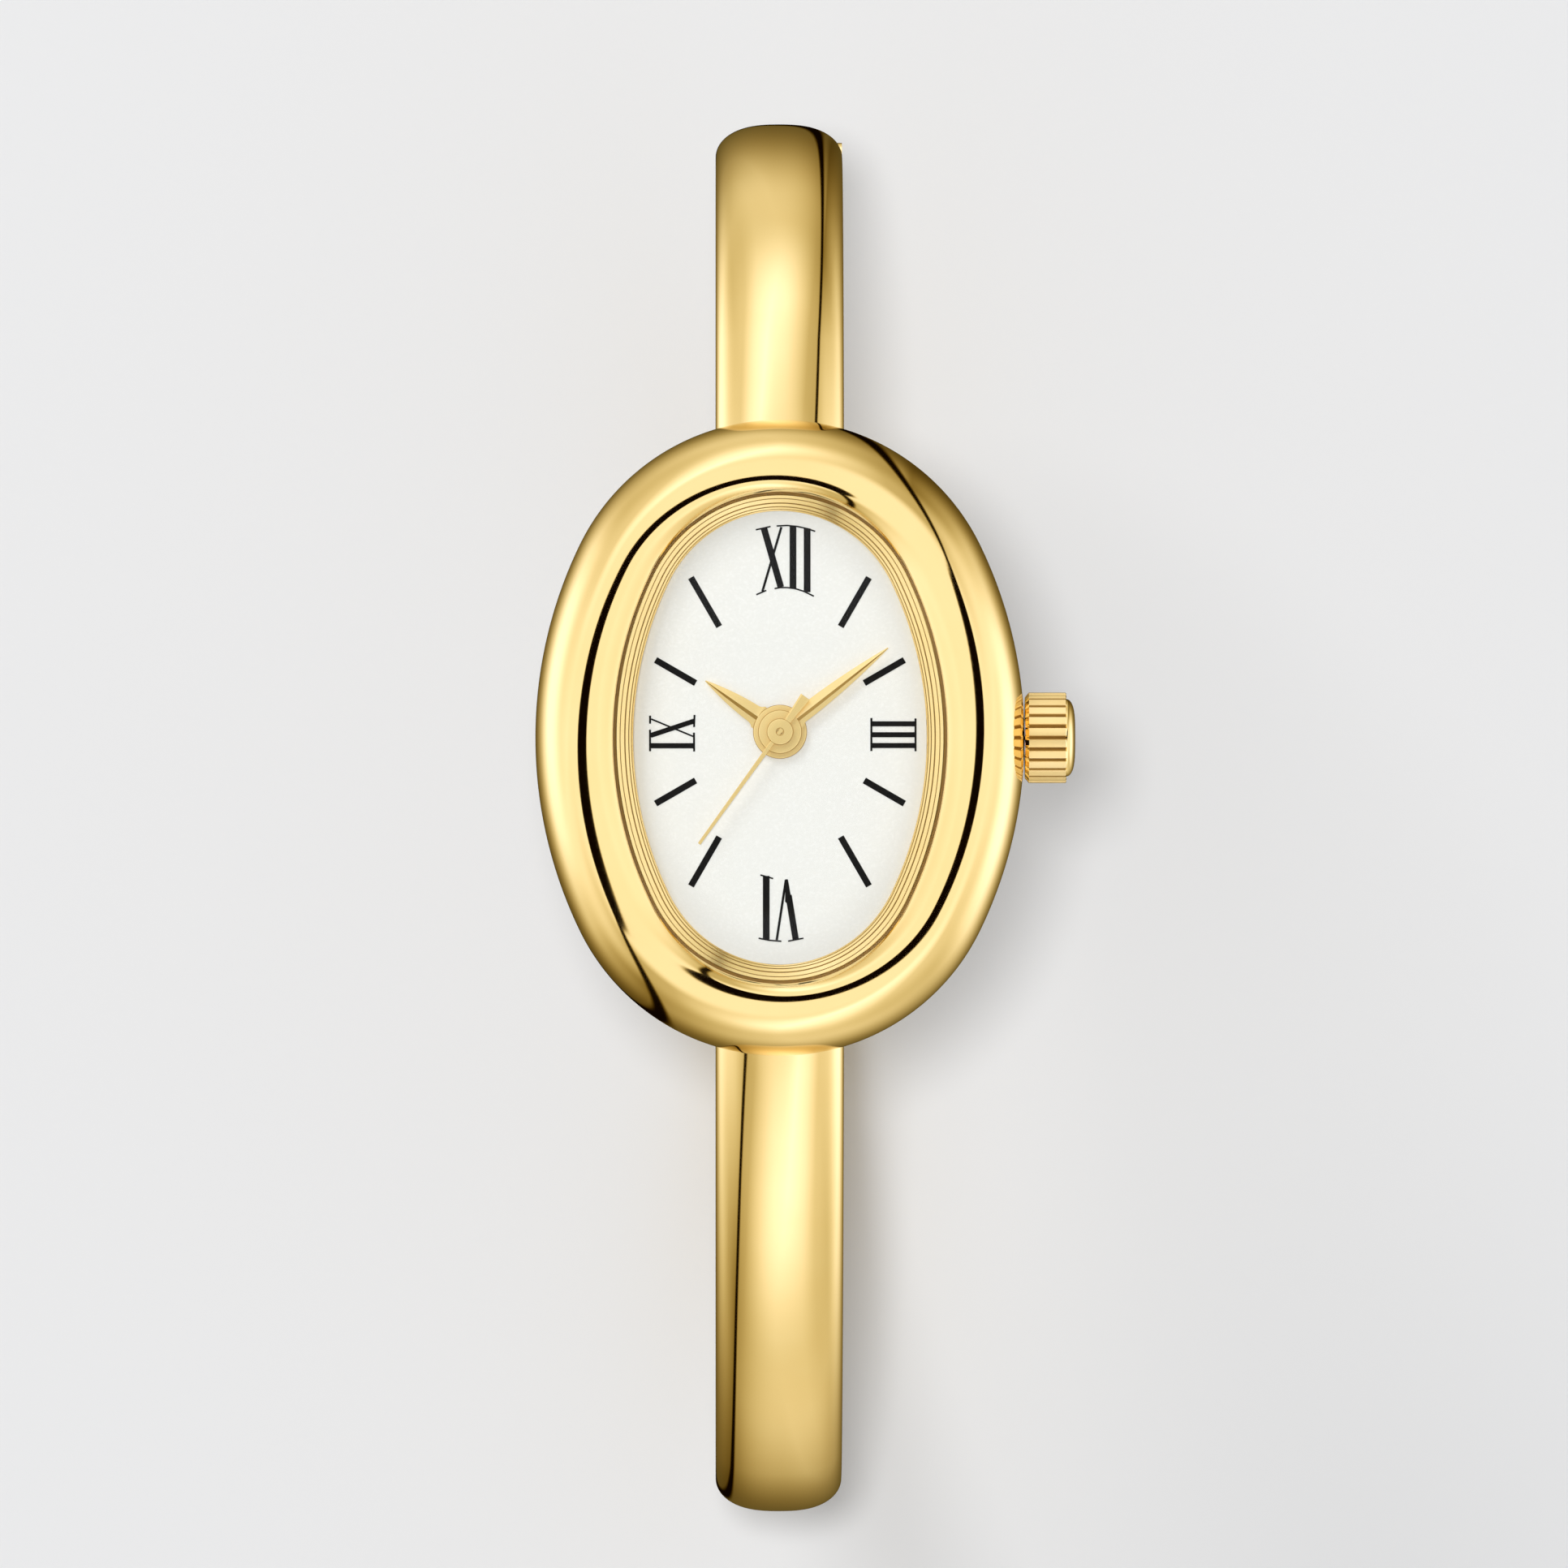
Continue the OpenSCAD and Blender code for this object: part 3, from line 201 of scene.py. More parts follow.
# %% A socket that can be added and multiplied
def forms(operation):
    """An operator and its reflected form, as Math or Vector Math nodes."""

    def made(graph, pair):
        vector = "VECTOR" in [w.socket.type for w in pair if isinstance(w, Wire)]
        kind, out = ("VectorMath", "Vector") if vector else ("Math", "Value")
        return graph.add("ShaderNode" + kind, {"operation": operation}, pair)[out]

    return (lambda self, other: made(self.graph, (self, other)),
            lambda self, other: made(self.graph, (other, self)))


class Wire:
    def __init__(self, graph, socket):
        self.graph = graph
        self.socket = socket

    __add__, __radd__ = forms("ADD")
    __sub__, __rsub__ = forms("SUBTRACT")
    __mul__, __rmul__ = forms("MULTIPLY")
    __pow__, __rpow__ = forms("POWER")

    def __abs__(self):
        return self.graph.add("ShaderNodeMath", {"operation": "ABSOLUTE"}, (self,))["Value"]


# %% A graph of nodes
class Made:
    """A node that was added: its outputs by name or number, as wires."""

    def __init__(self, graph, node):
        self.graph = graph
        self.node = node

    def __getitem__(self, name):
        return Wire(self.graph, self.node.outputs[name])


class Graph:
    def __init__(self, tree):
        self.tree = tree
        tree.nodes.clear()

    def add(self, kind, settings=None, values=()):
        node = self.tree.nodes.new(kind)
        for name, setting in (settings or {}).items():
            if name == "stops":
                ramp = node.color_ramp.elements
                while len(ramp) > 1:
                    ramp.remove(ramp[-1])
                ramp[0].position, ramp[0].color = setting[0]
                for place, colour in setting[1:]:
                    ramp.new(place).color = colour
            else:
                setattr(node, name, setting)
        pairs = values.items() if isinstance(values, dict) else enumerate(values)
        for name, value in pairs:
            self.set(node.inputs[name], value)
        return Made(self, node)

    def set(self, socket, value):
        if isinstance(value, Wire):
            self.tree.links.new(value.socket, socket)
        elif isinstance(value, (int, float)) and socket.type == "VECTOR":
            socket.default_value = (value, value, value)
        else:
            socket.default_value = value

    def blend(self, share, first, second):
        """Mixes two colours by a share: the Mix node's sockets for colours go by number."""
        return self.add("ShaderNodeMix", {"data_type": "RGBA"}, {0: share, 6: first, 7: second})[2]

    def noise(self, place, scale, detail=2.0):
        values = {"Vector": place, "Scale": scale, "Detail": detail}
        return self.add("ShaderNodeTexNoise", {}, values)["Fac"]

    def place(self):
        """A point of the piece, in metres."""
        return self.add("ShaderNodeTexCoord")["Object"]


# %% [markdown]
# Every opaque finish ends in the same Principled shader. `principled` takes what changes over
# the surface as wires and what is even as plain numbers, which go straight onto the sockets.
# Many finishes are two close tones in soft patches, so `clouded` makes them from a few values.

# %% One builder for all finishes
def shade(name, fill):
    """A node material. The function fill gets the graph and returns the closing shader."""
    material = bpy.data.materials.new(name)
    material.use_nodes = True
    graph = Graph(material.node_tree)
    closing = fill(graph)
    graph.add("ShaderNodeOutputMaterial", {}, {"Surface": closing})
    print("material", name, "nodes:", len(graph.tree.nodes))
    return material


def principled(graph, colour, roughness, height=None, depth=0.0, **even):
    values = {"Base Color": colour, "Roughness": roughness}
    for name, value in even.items():
        values[name.replace("_", " ")] = value
    if height is not None:
        relief = {"Height": height, "Strength": 1.0, "Distance": depth}
        values["Normal"] = graph.add("ShaderNodeBump", {}, relief)["Normal"]
    return graph.add("ShaderNodeBsdfPrincipled", {}, values)["BSDF"]


def soft_step(graph, value, low, high):
    """A share that rises smoothly from 0 to 1 between two values."""
    return graph.add("ShaderNodeMapRange", {"interpolation_type": "SMOOTHSTEP"},
                     {"Value": value, "From Min": low, "From Max": high})["Result"]


def clouded(light, dark, patches, roughness, relief=0.0, stretch=None, detail=4.0, mixed=0.0,
            **even):
    """Two tones in patches, a noise's scale and detail. Roughness, as its lowest value and what
    is added, and relief follow the patches, or else a stretched grain, which may mix the tones."""
    low, more = roughness

    def fill(graph):
        place = graph.place()
        cloud = graph.noise(place, *patches)
        fine = graph.noise(place * stretch, 1.0, detail) if stretch else cloud
        share = cloud * (1 - mixed) + fine * mixed if mixed else cloud
        colour = graph.blend(share, light, dark)
        height = fine if relief else None
        return principled(graph, colour, low + fine * more, height, relief, **even)

    return fill


# %% [markdown]
# ## Gold plate
#
# The case and the bangle are plated steel, polished until they mirror the room. A perfect mirror
# looks computed, so the polish gets faint cloudy patches and very fine hairlines. The ring under
# the crystal comes straight from the lathe, with a softer mirror. The hands and the crown's teeth
# are satin and glow more than they mirror. Grooves, hollows and steep edges get a dark brown gold
# as painted shade.

# %% Four finishes of gold, and a dark gold for painted shade
PLATE = (0.96, 0.73, 0.32, 1)
PLATE_DEEP = (0.93, 0.67, 0.26, 1)


def polished_gold(graph):
    place = graph.place()
    cloud = graph.noise(place, 260, 3.0)
    hairs = graph.noise(place * (900.0, 5200.0, 900.0), 1.0, 2.0)
    colour = graph.blend(cloud, PLATE, PLATE_DEEP)
    roughness = 0.035 + cloud * 0.03 + hairs * 0.02
    return principled(graph, colour, roughness, hairs, 2e-7, Metallic=1.0)


gold = shade("polished_gold", polished_gold)
gold_turned = shade("turned_gold", clouded(
    PLATE, PLATE_DEEP, (600, 3.0), (0.16, 0.08), Metallic=1.0))
gold_satin = shade("satin_gold", clouded(
    (1.0, 0.77, 0.35, 1), (0.98, 0.71, 0.28, 1), (900, 3.0), (0.2, 0.1), 1.5e-6, Metallic=0.25))
# Painted shade: a dark brown gold that stands in for the shade in grooves, hollows and edges
gold_painted_shade = shade("painted_shade_gold", clouded(
    (0.5, 0.3, 0.07, 1), (0.38, 0.22, 0.05, 1), (900, 3.0), (0.3, 0.1), 1.5e-6, Metallic=0.5))
gold_brushed = shade("brushed_gold", clouded(
    PLATE, PLATE_DEEP, (180, 2.0), (0.2, 0.18), 1.5e-6, (350.0, 16000.0, 350.0), Metallic=1.0))

# %% [markdown]
# ## Crystal
#
# A real pane bends light very little, so it is made as a clear film that lets light straight
# through and adds a reflection, which is faint from the front and grows as the view slants. That
# keeps the dial as bright as it is in life, where full refraction would darken it.

# %% Mineral glass
SHINE_FRONT = 0.004
SHINE_SLANTED = 0.9


def mineral_glass(graph):
    clear = graph.add("ShaderNodeBsdfTransparent", {}, {"Color": (0.985, 0.99, 0.985, 1)})["BSDF"]
    polish = {"Color": (1, 1, 1, 1), "Roughness": 0.02}
    shine = graph.add("ShaderNodeBsdfGlossy", {}, polish)["BSDF"]
    slant = graph.add("ShaderNodeLayerWeight", {}, {"Blend": 0.5})["Facing"]
    share = SHINE_FRONT + SHINE_SLANTED * slant**5
    return graph.add("ShaderNodeMixShader", {}, (share, clear, shine))["Shader"]


glass = shade("mineral_glass", mineral_glass)

# %% [markdown]
# ## Dial, ink, rubber and plastic
#
# The dial is brass under a satin white lacquer, whose faint orange peel only shows where a
# reflection slides over it. The print stands a hair above it and is matt. The crystal's gasket
# is see-through nylon, which the gold behind it turns golden brown.

# %% Lacquer, ink, rubber, plastic
DIAL_HALF_W = 0.0061
DIAL_HALF_L = 0.0095


def white_lacquer(graph):
    """White lacquer with a fine metal flake, and painted shade that greys it towards the rim,
    where the ring's wall shades the dial.
    """
    place = graph.place()
    peel = graph.noise(place, 4000, 2.0)
    flake = graph.noise(place, 9000, 1.0)
    out = graph.add("ShaderNodeVectorMath", {"operation": "LENGTH"},
                    (place * (1 / DIAL_HALF_W, 1 / DIAL_HALF_L, 0.0),))["Value"]
    # Painted shade: grey mixed in towards the dial's rim, in place of the ring wall's shadow
    rim = soft_step(graph, out, 0.78, 1.08)
    speck = soft_step(graph, flake, 0.45, 0.75)
    plain = graph.blend(speck, (0.93, 0.925, 0.905, 1), (0.98, 0.975, 0.96, 1))
    colour = graph.blend(rim * 0.45, plain, (0.6, 0.6, 0.6, 1))
    return principled(graph, colour, 0.38 + peel * 0.1, peel, 1.5e-6)


def green_board(graph):
    weave = graph.add("ShaderNodeTexWave", {"bands_direction": "DIAGONAL"},
                      {"Vector": graph.place(), "Scale": 900, "Distortion": 0.6})["Fac"]
    colour = graph.blend(weave, (0.012, 0.1, 0.045, 1), (0.018, 0.16, 0.07, 1))
    return principled(graph, colour, 0.28 + weave * 0.1)


lacquer = shade("white_lacquer", white_lacquer)
ink = shade("black_ink", clouded(
    (0.003, 0.003, 0.003, 1), (0.008, 0.007, 0.006, 1), (6000, 2.0), (0.45, 0.15),
    Specular_IOR_Level=0.15))
rubber = shade("black_rubber", clouded(
    (0.012, 0.012, 0.012, 1), (0.04, 0.04, 0.038, 1), (2500, 3.0), (0.55, 0.2), 4e-6))
amber = shade("amber_nylon", clouded(
    (0.3, 0.17, 0.05, 1), (0.22, 0.12, 0.03, 1), (700, 2.0), (0.25, 0.15)))
plastic = shade("ivory_plastic", clouded(
    (0.72, 0.68, 0.56, 1), (0.66, 0.62, 0.5, 1), (300, 3.0), (0.42, 0.15), 3e-6,
    (9000.0, 9000.0, 9000.0), 2.0))
chip_plastic = shade("black_plastic", clouded(
    (0.014, 0.014, 0.015, 1), (0.035, 0.035, 0.036, 1), (12000, 2.0), (0.5, 0.2), 3e-6))
board_green = shade("green_board", green_board)

# %% [markdown]
# ## The metals of the movement
#
# Nobody sees them until the watch is open, but then each has its own trade finish: the plates
# are nickelled and grained in one direction, the wheels are bright brass with a fine even grain,
# and the screws and the stator are tempered steel.

# %% Grained metals and copper wire
def grained(light, dark, low, more, stretch):
    return clouded(light, dark, (500, 2.0), (low, more), 8e-7, stretch, mixed=0.5, Metallic=1.0)


ACROSS = (400.0, 22000.0, 400.0)
ALL_WAYS = (6000.0, 6000.0, 6000.0)
nickel = shade("nickel", grained((0.66, 0.64, 0.6, 1), (0.55, 0.53, 0.49, 1), 0.2, 0.15, ACROSS))
steel = shade("steel", grained((0.62, 0.62, 0.61, 1), (0.5, 0.5, 0.5, 1), 0.18, 0.15, ALL_WAYS))
blued = shade("blued_steel", grained((0.16, 0.2, 0.3, 1), (0.1, 0.13, 0.22, 1), 0.2, 0.12, ACROSS))
brass = shade("brass", grained((0.8, 0.58, 0.24, 1), (0.7, 0.48, 0.18, 1), 0.2, 0.12, ALL_WAYS))
magnet = shade("magnet", grained((0.2, 0.2, 0.21, 1), (0.12, 0.12, 0.13, 1), 0.4, 0.2, ALL_WAYS))


def copper_wire(graph):
    """Enamelled wire laid in close turns along the coil's axis."""
    turns = graph.add("ShaderNodeTexWave", {"bands_direction": "X", "wave_profile": "SIN"},
                      {"Vector": graph.place(), "Scale": 5200, "Distortion": 0.4})["Fac"]
    colour = graph.blend(turns, (0.28, 0.08, 0.02, 1), (0.66, 0.27, 0.09, 1))
    return principled(graph, colour, 0.25 + turns * 0.1, turns, 4e-6, Metallic=0.6)


copper = shade("copper_wire", copper_wire)

# %% [markdown]
# ## The oval
#
# The case is an oval of four arcs. Two side arcs and two end arcs meet with a common tangent,
# so a point is found from the direction of its normal alone, and moving it in along the normal
# gives every inner outline. The bezel is a shade narrower at its two ends than at its sides.
# Along the length, the whole top falls away on one big arch.

# %% Points of the oval
case_w = 20.5
case_l = 26.72
case_side_r = 18.6
arch_drop = 1.81
end_ease = 0.06
half_w = case_w / 2
half_l = case_l / 2
side_x = case_side_r - half_w
end_r = (case_side_r**2 - side_x**2 - half_l**2) / (2 * (case_side_r - half_l))
end_y = half_l - end_r
meet_a = atan2(end_y, side_x)
arch_r = (half_l**2 + arch_drop**2) / (2 * arch_drop)


def oval_point(a, inset):
    inset *= 1 - end_ease * sin(a) ** 2
    if abs(sin(a)) < sin(meet_a):
        side = 1 if cos(a) > 0 else -1
        return (case_side_r - inset) * cos(a) - side_x * side, (case_side_r - inset) * sin(a)
    end = 1 if sin(a) > 0 else -1
    return (end_r - inset) * cos(a), (end_r - inset) * sin(a) + end_y * end


def fall(y):
    return arch_r - sqrt(arch_r**2 - y**2)


def oval_angles(side_count, end_count):
    quarter = [(-meet_a, meet_a, side_count), (meet_a, pi - meet_a, end_count),
               (pi - meet_a, pi + meet_a, side_count), (pi + meet_a, 2 * pi - meet_a, end_count)]
    return [a for low, high, count in quarter for a in spread(low, high, count)]


FINE_OVAL = oval_angles(110, 150)
print("oval points:", len(FINE_OVAL), "end radius:", round(end_r, 2))

# %% Rings that follow the arch
def arched_sections(section):
    """Section points are (inset, height, share of the arch), for each angle of the oval."""
    rings = []
    for a in FINE_OVAL:
        points = [(*oval_point(a, inset), z, share) for inset, z, share in section(a)]
        rings.append([(x, y, z - share * fall(y)) for x, y, z, share in points])
    return rings


# %% [markdown]
# ## The bangle's path
#
# Seen from the side, the bangle is an oval of four arcs too, turned a little so that its flat
# top is centred under the case while its belly hangs towards 6 o'clock. A point is named by the
# direction of its outward normal, measured from the dial's direction towards 12 o'clock.

# %% Arcs of the bangle
band_w = 5.4
band_t = 2.0
band_dome = 1.4
band_l = 60.6
band_h = 46.6
band_side_r = 18.0
band_turn = radians(17.5)
widest_h = 3.6
root_in = 0.33
seat = 0.02
fit = 0.03
over = 0.5

band_end_y = band_l / 2 - band_side_r
band_rise = band_h / 2 - band_side_r
band_flat_c = (band_end_y**2 - band_rise**2) / (2 * band_rise)
band_flat_r = band_h / 2 + band_flat_c
band_meet_a = atan2(band_flat_c, band_end_y)
band_shift = band_flat_c * sin(band_turn)
root_y = half_l - root_in
root_a = asin(root_y / band_flat_r)
root_z = widest_h - fall(half_l) - seat * 2
band_c_z = root_z - band_flat_r * cos(root_a) + band_flat_c * cos(band_turn)


def turned(y, z):
    return (y * cos(band_turn) - z * sin(band_turn) - band_shift,
            y * sin(band_turn) + z * cos(band_turn) + band_c_z)


def band_arc(a):
    """Centre and radius of the arc at the angle a."""
    b = (a + band_turn + 3 * pi) % (2 * pi) - pi
    if abs(b) <= pi / 2 - band_meet_a:
        return *turned(0, -band_flat_c), band_flat_r
    if abs(b) >= pi / 2 + band_meet_a:
        return *turned(0, band_flat_c), band_flat_r
    return *turned(band_end_y if b > 0 else -band_end_y, 0), band_side_r


def band_point(a, h):
    y, z, r = band_arc(a)
    return y + (r + h) * sin(a), z + (r + h) * cos(a)


print("bangle root at", round(degrees(root_a), 2), "degrees, height", round(root_z, 3))

# %% [markdown]
# The bangle's section is a D. Its outer face is domed like a flattened ellipse, and its inner
# face, which lies on the wrist, is flat with round corners.

# %% Section and rings of the bangle
dome_power = 2.6
corner_r = 0.45
DOME_COUNT = 44
CORNER_COUNT = 8


def band_section(grow, depth):
    """The D, larger by grow all round, down to a depth below the outer face."""
    half = band_w / 2 + grow
    inner = half - corner_r
    low = -depth - grow
    points = []
    for t in spread(-pi / 2, 0, CORNER_COUNT):
        points.append((inner + corner_r * cos(t), low + corner_r + corner_r * sin(t)))
    for i in range(DOME_COUNT + 1):
        s = cos(pi * i / DOME_COUNT)
        rise = sqrt(max(0, 1 - abs(s) ** dome_power))
        points.append((half * s, grow - band_dome + band_dome * rise))
    for t in spread(pi, 1.5 * pi, CORNER_COUNT):
        points.append((-inner + corner_r * cos(t), low + corner_r + corner_r * sin(t)))
    points.append((-inner, low))
    return points


SECTION = band_section(0, band_t)


def band_ring(a, back=0.0):
    ring = []
    for x, h in SECTION:
        y, z = band_point(a, h)
        ring.append((x, y - back * cos(a), z + back * sin(a)))
    return ring


def band_place(a):
    """Frame on the outer face: its y points out and its z back towards 12 o'clock."""
    y, z = band_point(a, 0)
    return Matrix.Translation((0, y, z)) @ Matrix.Rotation(pi / 2 - a, 4, "X")


RING_STEP = radians(0.8)


def ring_angles(low, high):
    count = ceil(abs(high - low) / RING_STEP)
    return spread(low, high, count) + [high]


# %% [markdown]
# ## Case shell
#
# The case is one block, turned and milled: a soft round runs over the bezel's crest, a long
# curve falls to the widest line, and a rounded belly tucks under to the case back. Its section
# is drawn once and carried round the oval on the arch. The arms' tongues and the crown's tube
# enter through pockets.

# %% Section of the case
case_h = 6.4
crest_in = 1.88
lip_in = 3.26
cavity_in = 2.8
foot_in = 2.05
shoulder_h = 5.15
back_t = 0.6
inner_drop = 0.568
side_power = 2.2
end_power = 4.6
INNER_COUNT = 30
OUTER_COUNT = 40
BELLY_COUNT = 24


def case_section(a):
    """From the inner lip over the crest and the belly to the cavity."""
    section = []
    power = side_power + (end_power - side_power) * sin(a) ** 4
    for share in spread(1, 0, INNER_COUNT):
        inset = crest_in + (lip_in - crest_in) * share
        section.append((inset, case_h - inner_drop * share**power, 1))
    for t in spread(0, pi / 2, OUTER_COUNT):
        section.append((crest_in * (1 - sin(t)), widest_h + (case_h - widest_h) * cos(t), 1))
    for t in spread(0, pi / 2, BELLY_COUNT) + [pi / 2]:
        z = widest_h - (widest_h - back_t) * sin(t)
        section.append((foot_in * (1 - cos(t)), z, (z - back_t) / (widest_h - back_t)))
    section += [(cavity_in, back_t, 0), (cavity_in, shoulder_h, 1), (lip_in, shoulder_h, 1)]
    return section


# %% Cut the pockets of the arms and the crown
crown_z = 2.4
tube_d = 1.6
tongue_l = 1.6
ALONG_X = Matrix.Rotation(pi / 2, 4, "Y")


def crown_place(x):
    return Matrix.Translation((x, 0, crown_z)) @ ALONG_X


def prism_tool(outline, z0, z1, place):
    sections = [[place @ Vector((x, y, z)) for x, y in outline] for z in (z0, z1)]
    return skin("tool", sections, False)


MIRROR_Y = Matrix.Scale(-1, 4, (0, 1, 0))
roots = [band_place(root_a), MIRROR_Y @ band_place(root_a)]
shell = skin("case_body", arched_sections(case_section), True)
pocket = band_section(seat, band_t)
cut(shell, *[prism_tool(pocket, -4 * over, tongue_l + seat, p) for p in roots])
tube_place = crown_place(half_w - cavity_in - over)
cut(shell, rod_tool(tube_d / 2 + seat, 0, cavity_in + 2 * over, tube_place))
finish_piece(shell, gold, "case", ["case_shell"], sharp=40)

# %% [markdown]
# ## Stepped dial ring
#
# Between the crystal's edge and the dial sits a turned ring. It steps down towards the dial in
# bands that lean inwards, parted by five fine grooves whose floors are painted dark brown gold as
# painted shade. Each mark is a place on the ring's width, so the whole profile is a short list of
# shares.

# %% Further tones on chosen faces
def add_tones(piece, tones, choose):
    """Adds materials to a piece. choose(i, face) gives a face's slot, 0 for the first."""
    for tone in tones:
        piece.data.materials.append(tone)
    for i, face in enumerate(piece.data.polygons):
        face.material_index = int(choose(i, face))


# %% Profile of the ring
crystal_gasket_t = 0.1
ring_in = 4.11
dial_top = 3.75
ring_out = cavity_in + seat
ring_top = shoulder_h - crystal_gasket_t
ring_width = ring_in - lip_in
# Each pair is a share of the width from the lip to the dial, and a depth in millimetres
RING_MARKS = [
    (0.09, 0.0), (0.095, 0.09), (0.14, 0.09), (0.15, 0.02), (0.18, 0.02), (0.325, 0.08),
    (0.33, 0.11), (0.365, 0.11), (0.37, 0.095), (0.55, 0.175), (0.555, 0.25), (0.61, 0.25),
    (0.615, 0.2), (0.75, 0.26), (0.755, 0.33), (0.795, 0.33), (0.8, 0.28), (0.885, 0.32),
    (0.89, 0.345), (0.915, 0.345), (0.92, 0.33), (0.985, 0.375), (1.0, 0.41),
]
RING_CORNERS = len(RING_MARKS) + 3
# A groove's floor is a level strip deeper than this
groove_from = 0.05
GROOVE_STRIPS = [i + 1 for i in range(len(RING_MARKS) - 1)
                 if RING_MARKS[i][1] == RING_MARKS[i + 1][1] > groove_from]


def ring_profile(_):
    points = [(ring_out, ring_top, 1)]
    for share, depth in RING_MARKS:
        points.append((lip_in + share * ring_width, ring_top - depth, 1))
    return points + [(ring_in, dial_top, 0), (ring_out, dial_top, 0)]


ring = skin("stepped_ring", arched_sections(ring_profile), True)
finish_piece(ring, gold_turned, "case", ["dial_ring"], sharp=25)
# Painted shade: the grooves' floors get the dark brown gold
add_tones(ring, [gold_painted_shade], lambda i, _: i % RING_CORNERS in GROOVE_STRIPS)

# %% [markdown]
# ## Crystal
#
# The pane is bent to the same arch as the case, so it stays flush with the bezel all round. Its
# rim is ground to a small bevel, which is why the edge catches the light.

# %% Arched pane with a ground rim
crystal_t = 0.75
crystal_in = lip_in + seat
rim_bevel = 0.08
RINGS_ACROSS = 14


def shrunk(row):
    """Ever smaller copies of a row of points, towards the middle of the pane."""
    shares = [1 - k / RINGS_ACROSS for k in range(1, RINGS_ACROSS)]
    return [[(x * s, y * s, z) for x, y, z in row] for s in shares]


def crystal_piece():
    """Rows of points from the middle of the underside, round the rim, to the top's middle."""
    rim = [(crystal_in, 0.0), (crystal_in, crystal_t - rim_bevel),
           (crystal_in + rim_bevel, crystal_t)]
    angles = oval_angles(40, 60)
    n = len(angles)
    edge = [[oval_point(a, inset) + (z,) for a in angles] for inset, z in rim]
    rows = shrunk(edge[0])[::-1] + edge + shrunk(edge[-1])
    points = [(x, y, shoulder_h + z - fall(y)) for row in rows for x, y, z in row]
    faces = row_quads(len(rows), n)
    low, high, last = len(points), len(points) + 1, len(points) - n
    points += [(0, 0, shoulder_h), (0, 0, shoulder_h + crystal_t)]
    for j in range(n):
        k = (j + 1) % n
        faces += [(low, k, j), (high, last + j, last + k)]
    return mesh_object("crystal_pane", points, faces)


finish_piece(crystal_piece(), glass, "case", ["crystal"], sharp=20)

# %% [markdown]
# ## Hands
#
# The hour and minute hands are stamped leaves: one half is a flat facet, and the other has a
# hollow beside the ridge, whose slope is painted dark brown gold as painted shade. The second
# hand is a flat needle with a tapered counterweight. Each hand turns on a round washer, made as a
# piece of its own, whose soft edge is painted dark brown gold as painted shade. A small concave
# curve leads from the washer into the leaf.

# %% Sizes and places of the hands
hour_l, hour_w, hour_hub_d, hour_hole_r = 3.78, 0.8, 2.26, 0.34
minute_l, minute_w, minute_hub_d, minute_hole_r = 5.73, 0.66, 1.83, 0.18
second_l, second_hub_d, dimple_r, dimple_floor = 5.79, 1.11, 0.15, 0.05
hour_mark_a = 300.0
minute_hand_a = 52.2
second_hand_a = 215.8
axis_up = 0.25
hand_t = 0.11
hour_z = 3.95
minute_z = 4.18
second_z = 4.41


def axis_place(z):
    """The movement sits a little above the case's middle, and the hands with it."""
    return Matrix.Translation((0, axis_up, z))


def hand_place(z, turn):
    return axis_place(z) @ Matrix.Rotation(-radians(turn), 4, "Z")


# %% Leaves with a ridge and a hollow
neck_share = 0.93
leaf_share = 0.25
tip_w = 0.05
leaf_edge_t = 0.035
ridge_t = hand_t - 0.003
hollow_t = 0.045
hollow_share = 0.4
fillet_r = 0.3
fillet_limit = 0.8
taper_power = 1.9
root_share = 0.7
crowding = 1.4
thinning_w = 0.3
leaf_lift = 0.002


def leaf_half(s, w):
    """Half the leaf's width at a share of its length: a soft swell, then a long point."""
    if s < leaf_share:
        return w / 2 * (neck_share + (1 - neck_share) * sin(pi / 2 * s / leaf_share))
    t = (s - leaf_share) / (1 - leaf_share)
    return tip_w / 2 + (w - tip_w) / 2 * (1 - t**taper_power)


def fillet_half(y, hub_r, half):
    """What the concave curve by the washer adds on each side."""
    start = sqrt(hub_r**2 - half**2)
    rise = min(1, max(0, (start + fillet_r - y) / fillet_r))
    return fillet_r * (1 - sqrt(1 - min(rise, fillet_limit) ** 2))


def leaf(name, body, length, w, hub_r, place, hollow_side, rows=90):
    """A leaf along the place's y axis, with painted shade on the strip beside the ridge."""
    sections = []
    low = hub_r * root_share
    for i in range(rows + 1):
        y = low + (length - low) * (i / rows) ** crowding
        plain = leaf_half(y / length, w)
        half = plain + fillet_half(y, hub_r, w / 2)
        full = min(1, plain / (w * thinning_w))
        ridge = leaf_edge_t + (ridge_t - leaf_edge_t) * full
        hollow = leaf_edge_t + (hollow_t - leaf_edge_t) * full
        ring = [(half, leaf_lift), (half, leaf_edge_t), (0, ridge),
                (-hollow_share * plain, hollow), (-half, leaf_edge_t), (-half, leaf_lift)]
        sections.append([place @ Vector((hollow_side * x, y, z)) for x, z in ring])
    piece = skin(name, sections, False)
    finish_piece(piece, gold_satin, body, sharp=12)
    # Painted shade: the slope from the ridge into the hollow gets the dark brown gold
    add_tones(piece, [gold_painted_shade],
              lambda i, face: len(face.vertices) == 4 and i % len(ring) == 2)


# %% Washers
edge_r = 0.05
hole_bevel = 0.02
level_share = 0.8


def washer(name, d, z, hole_r, floor_t=0.0):
    """A low ring with soft edges. With a floor, its hole is only a dimple."""
    r = d / 2
    edge = [(r - edge_r + edge_r * cos(t), hand_t - edge_r + edge_r * sin(t))
            for t in spread(0, pi / 2, 6) + [pi / 2]]
    rim = [(hole_r + hole_bevel, hand_t), (hole_r, hand_t - hole_bevel)]
    middle = [(hole_r, floor_t), (0, floor_t)] if floor_t else [(hole_r, 0)]
    start = [(0, 0)] if floor_t else []
    return turned_tool(start + [(r, 0)] + edge + rim + middle, axis_place(z), name)


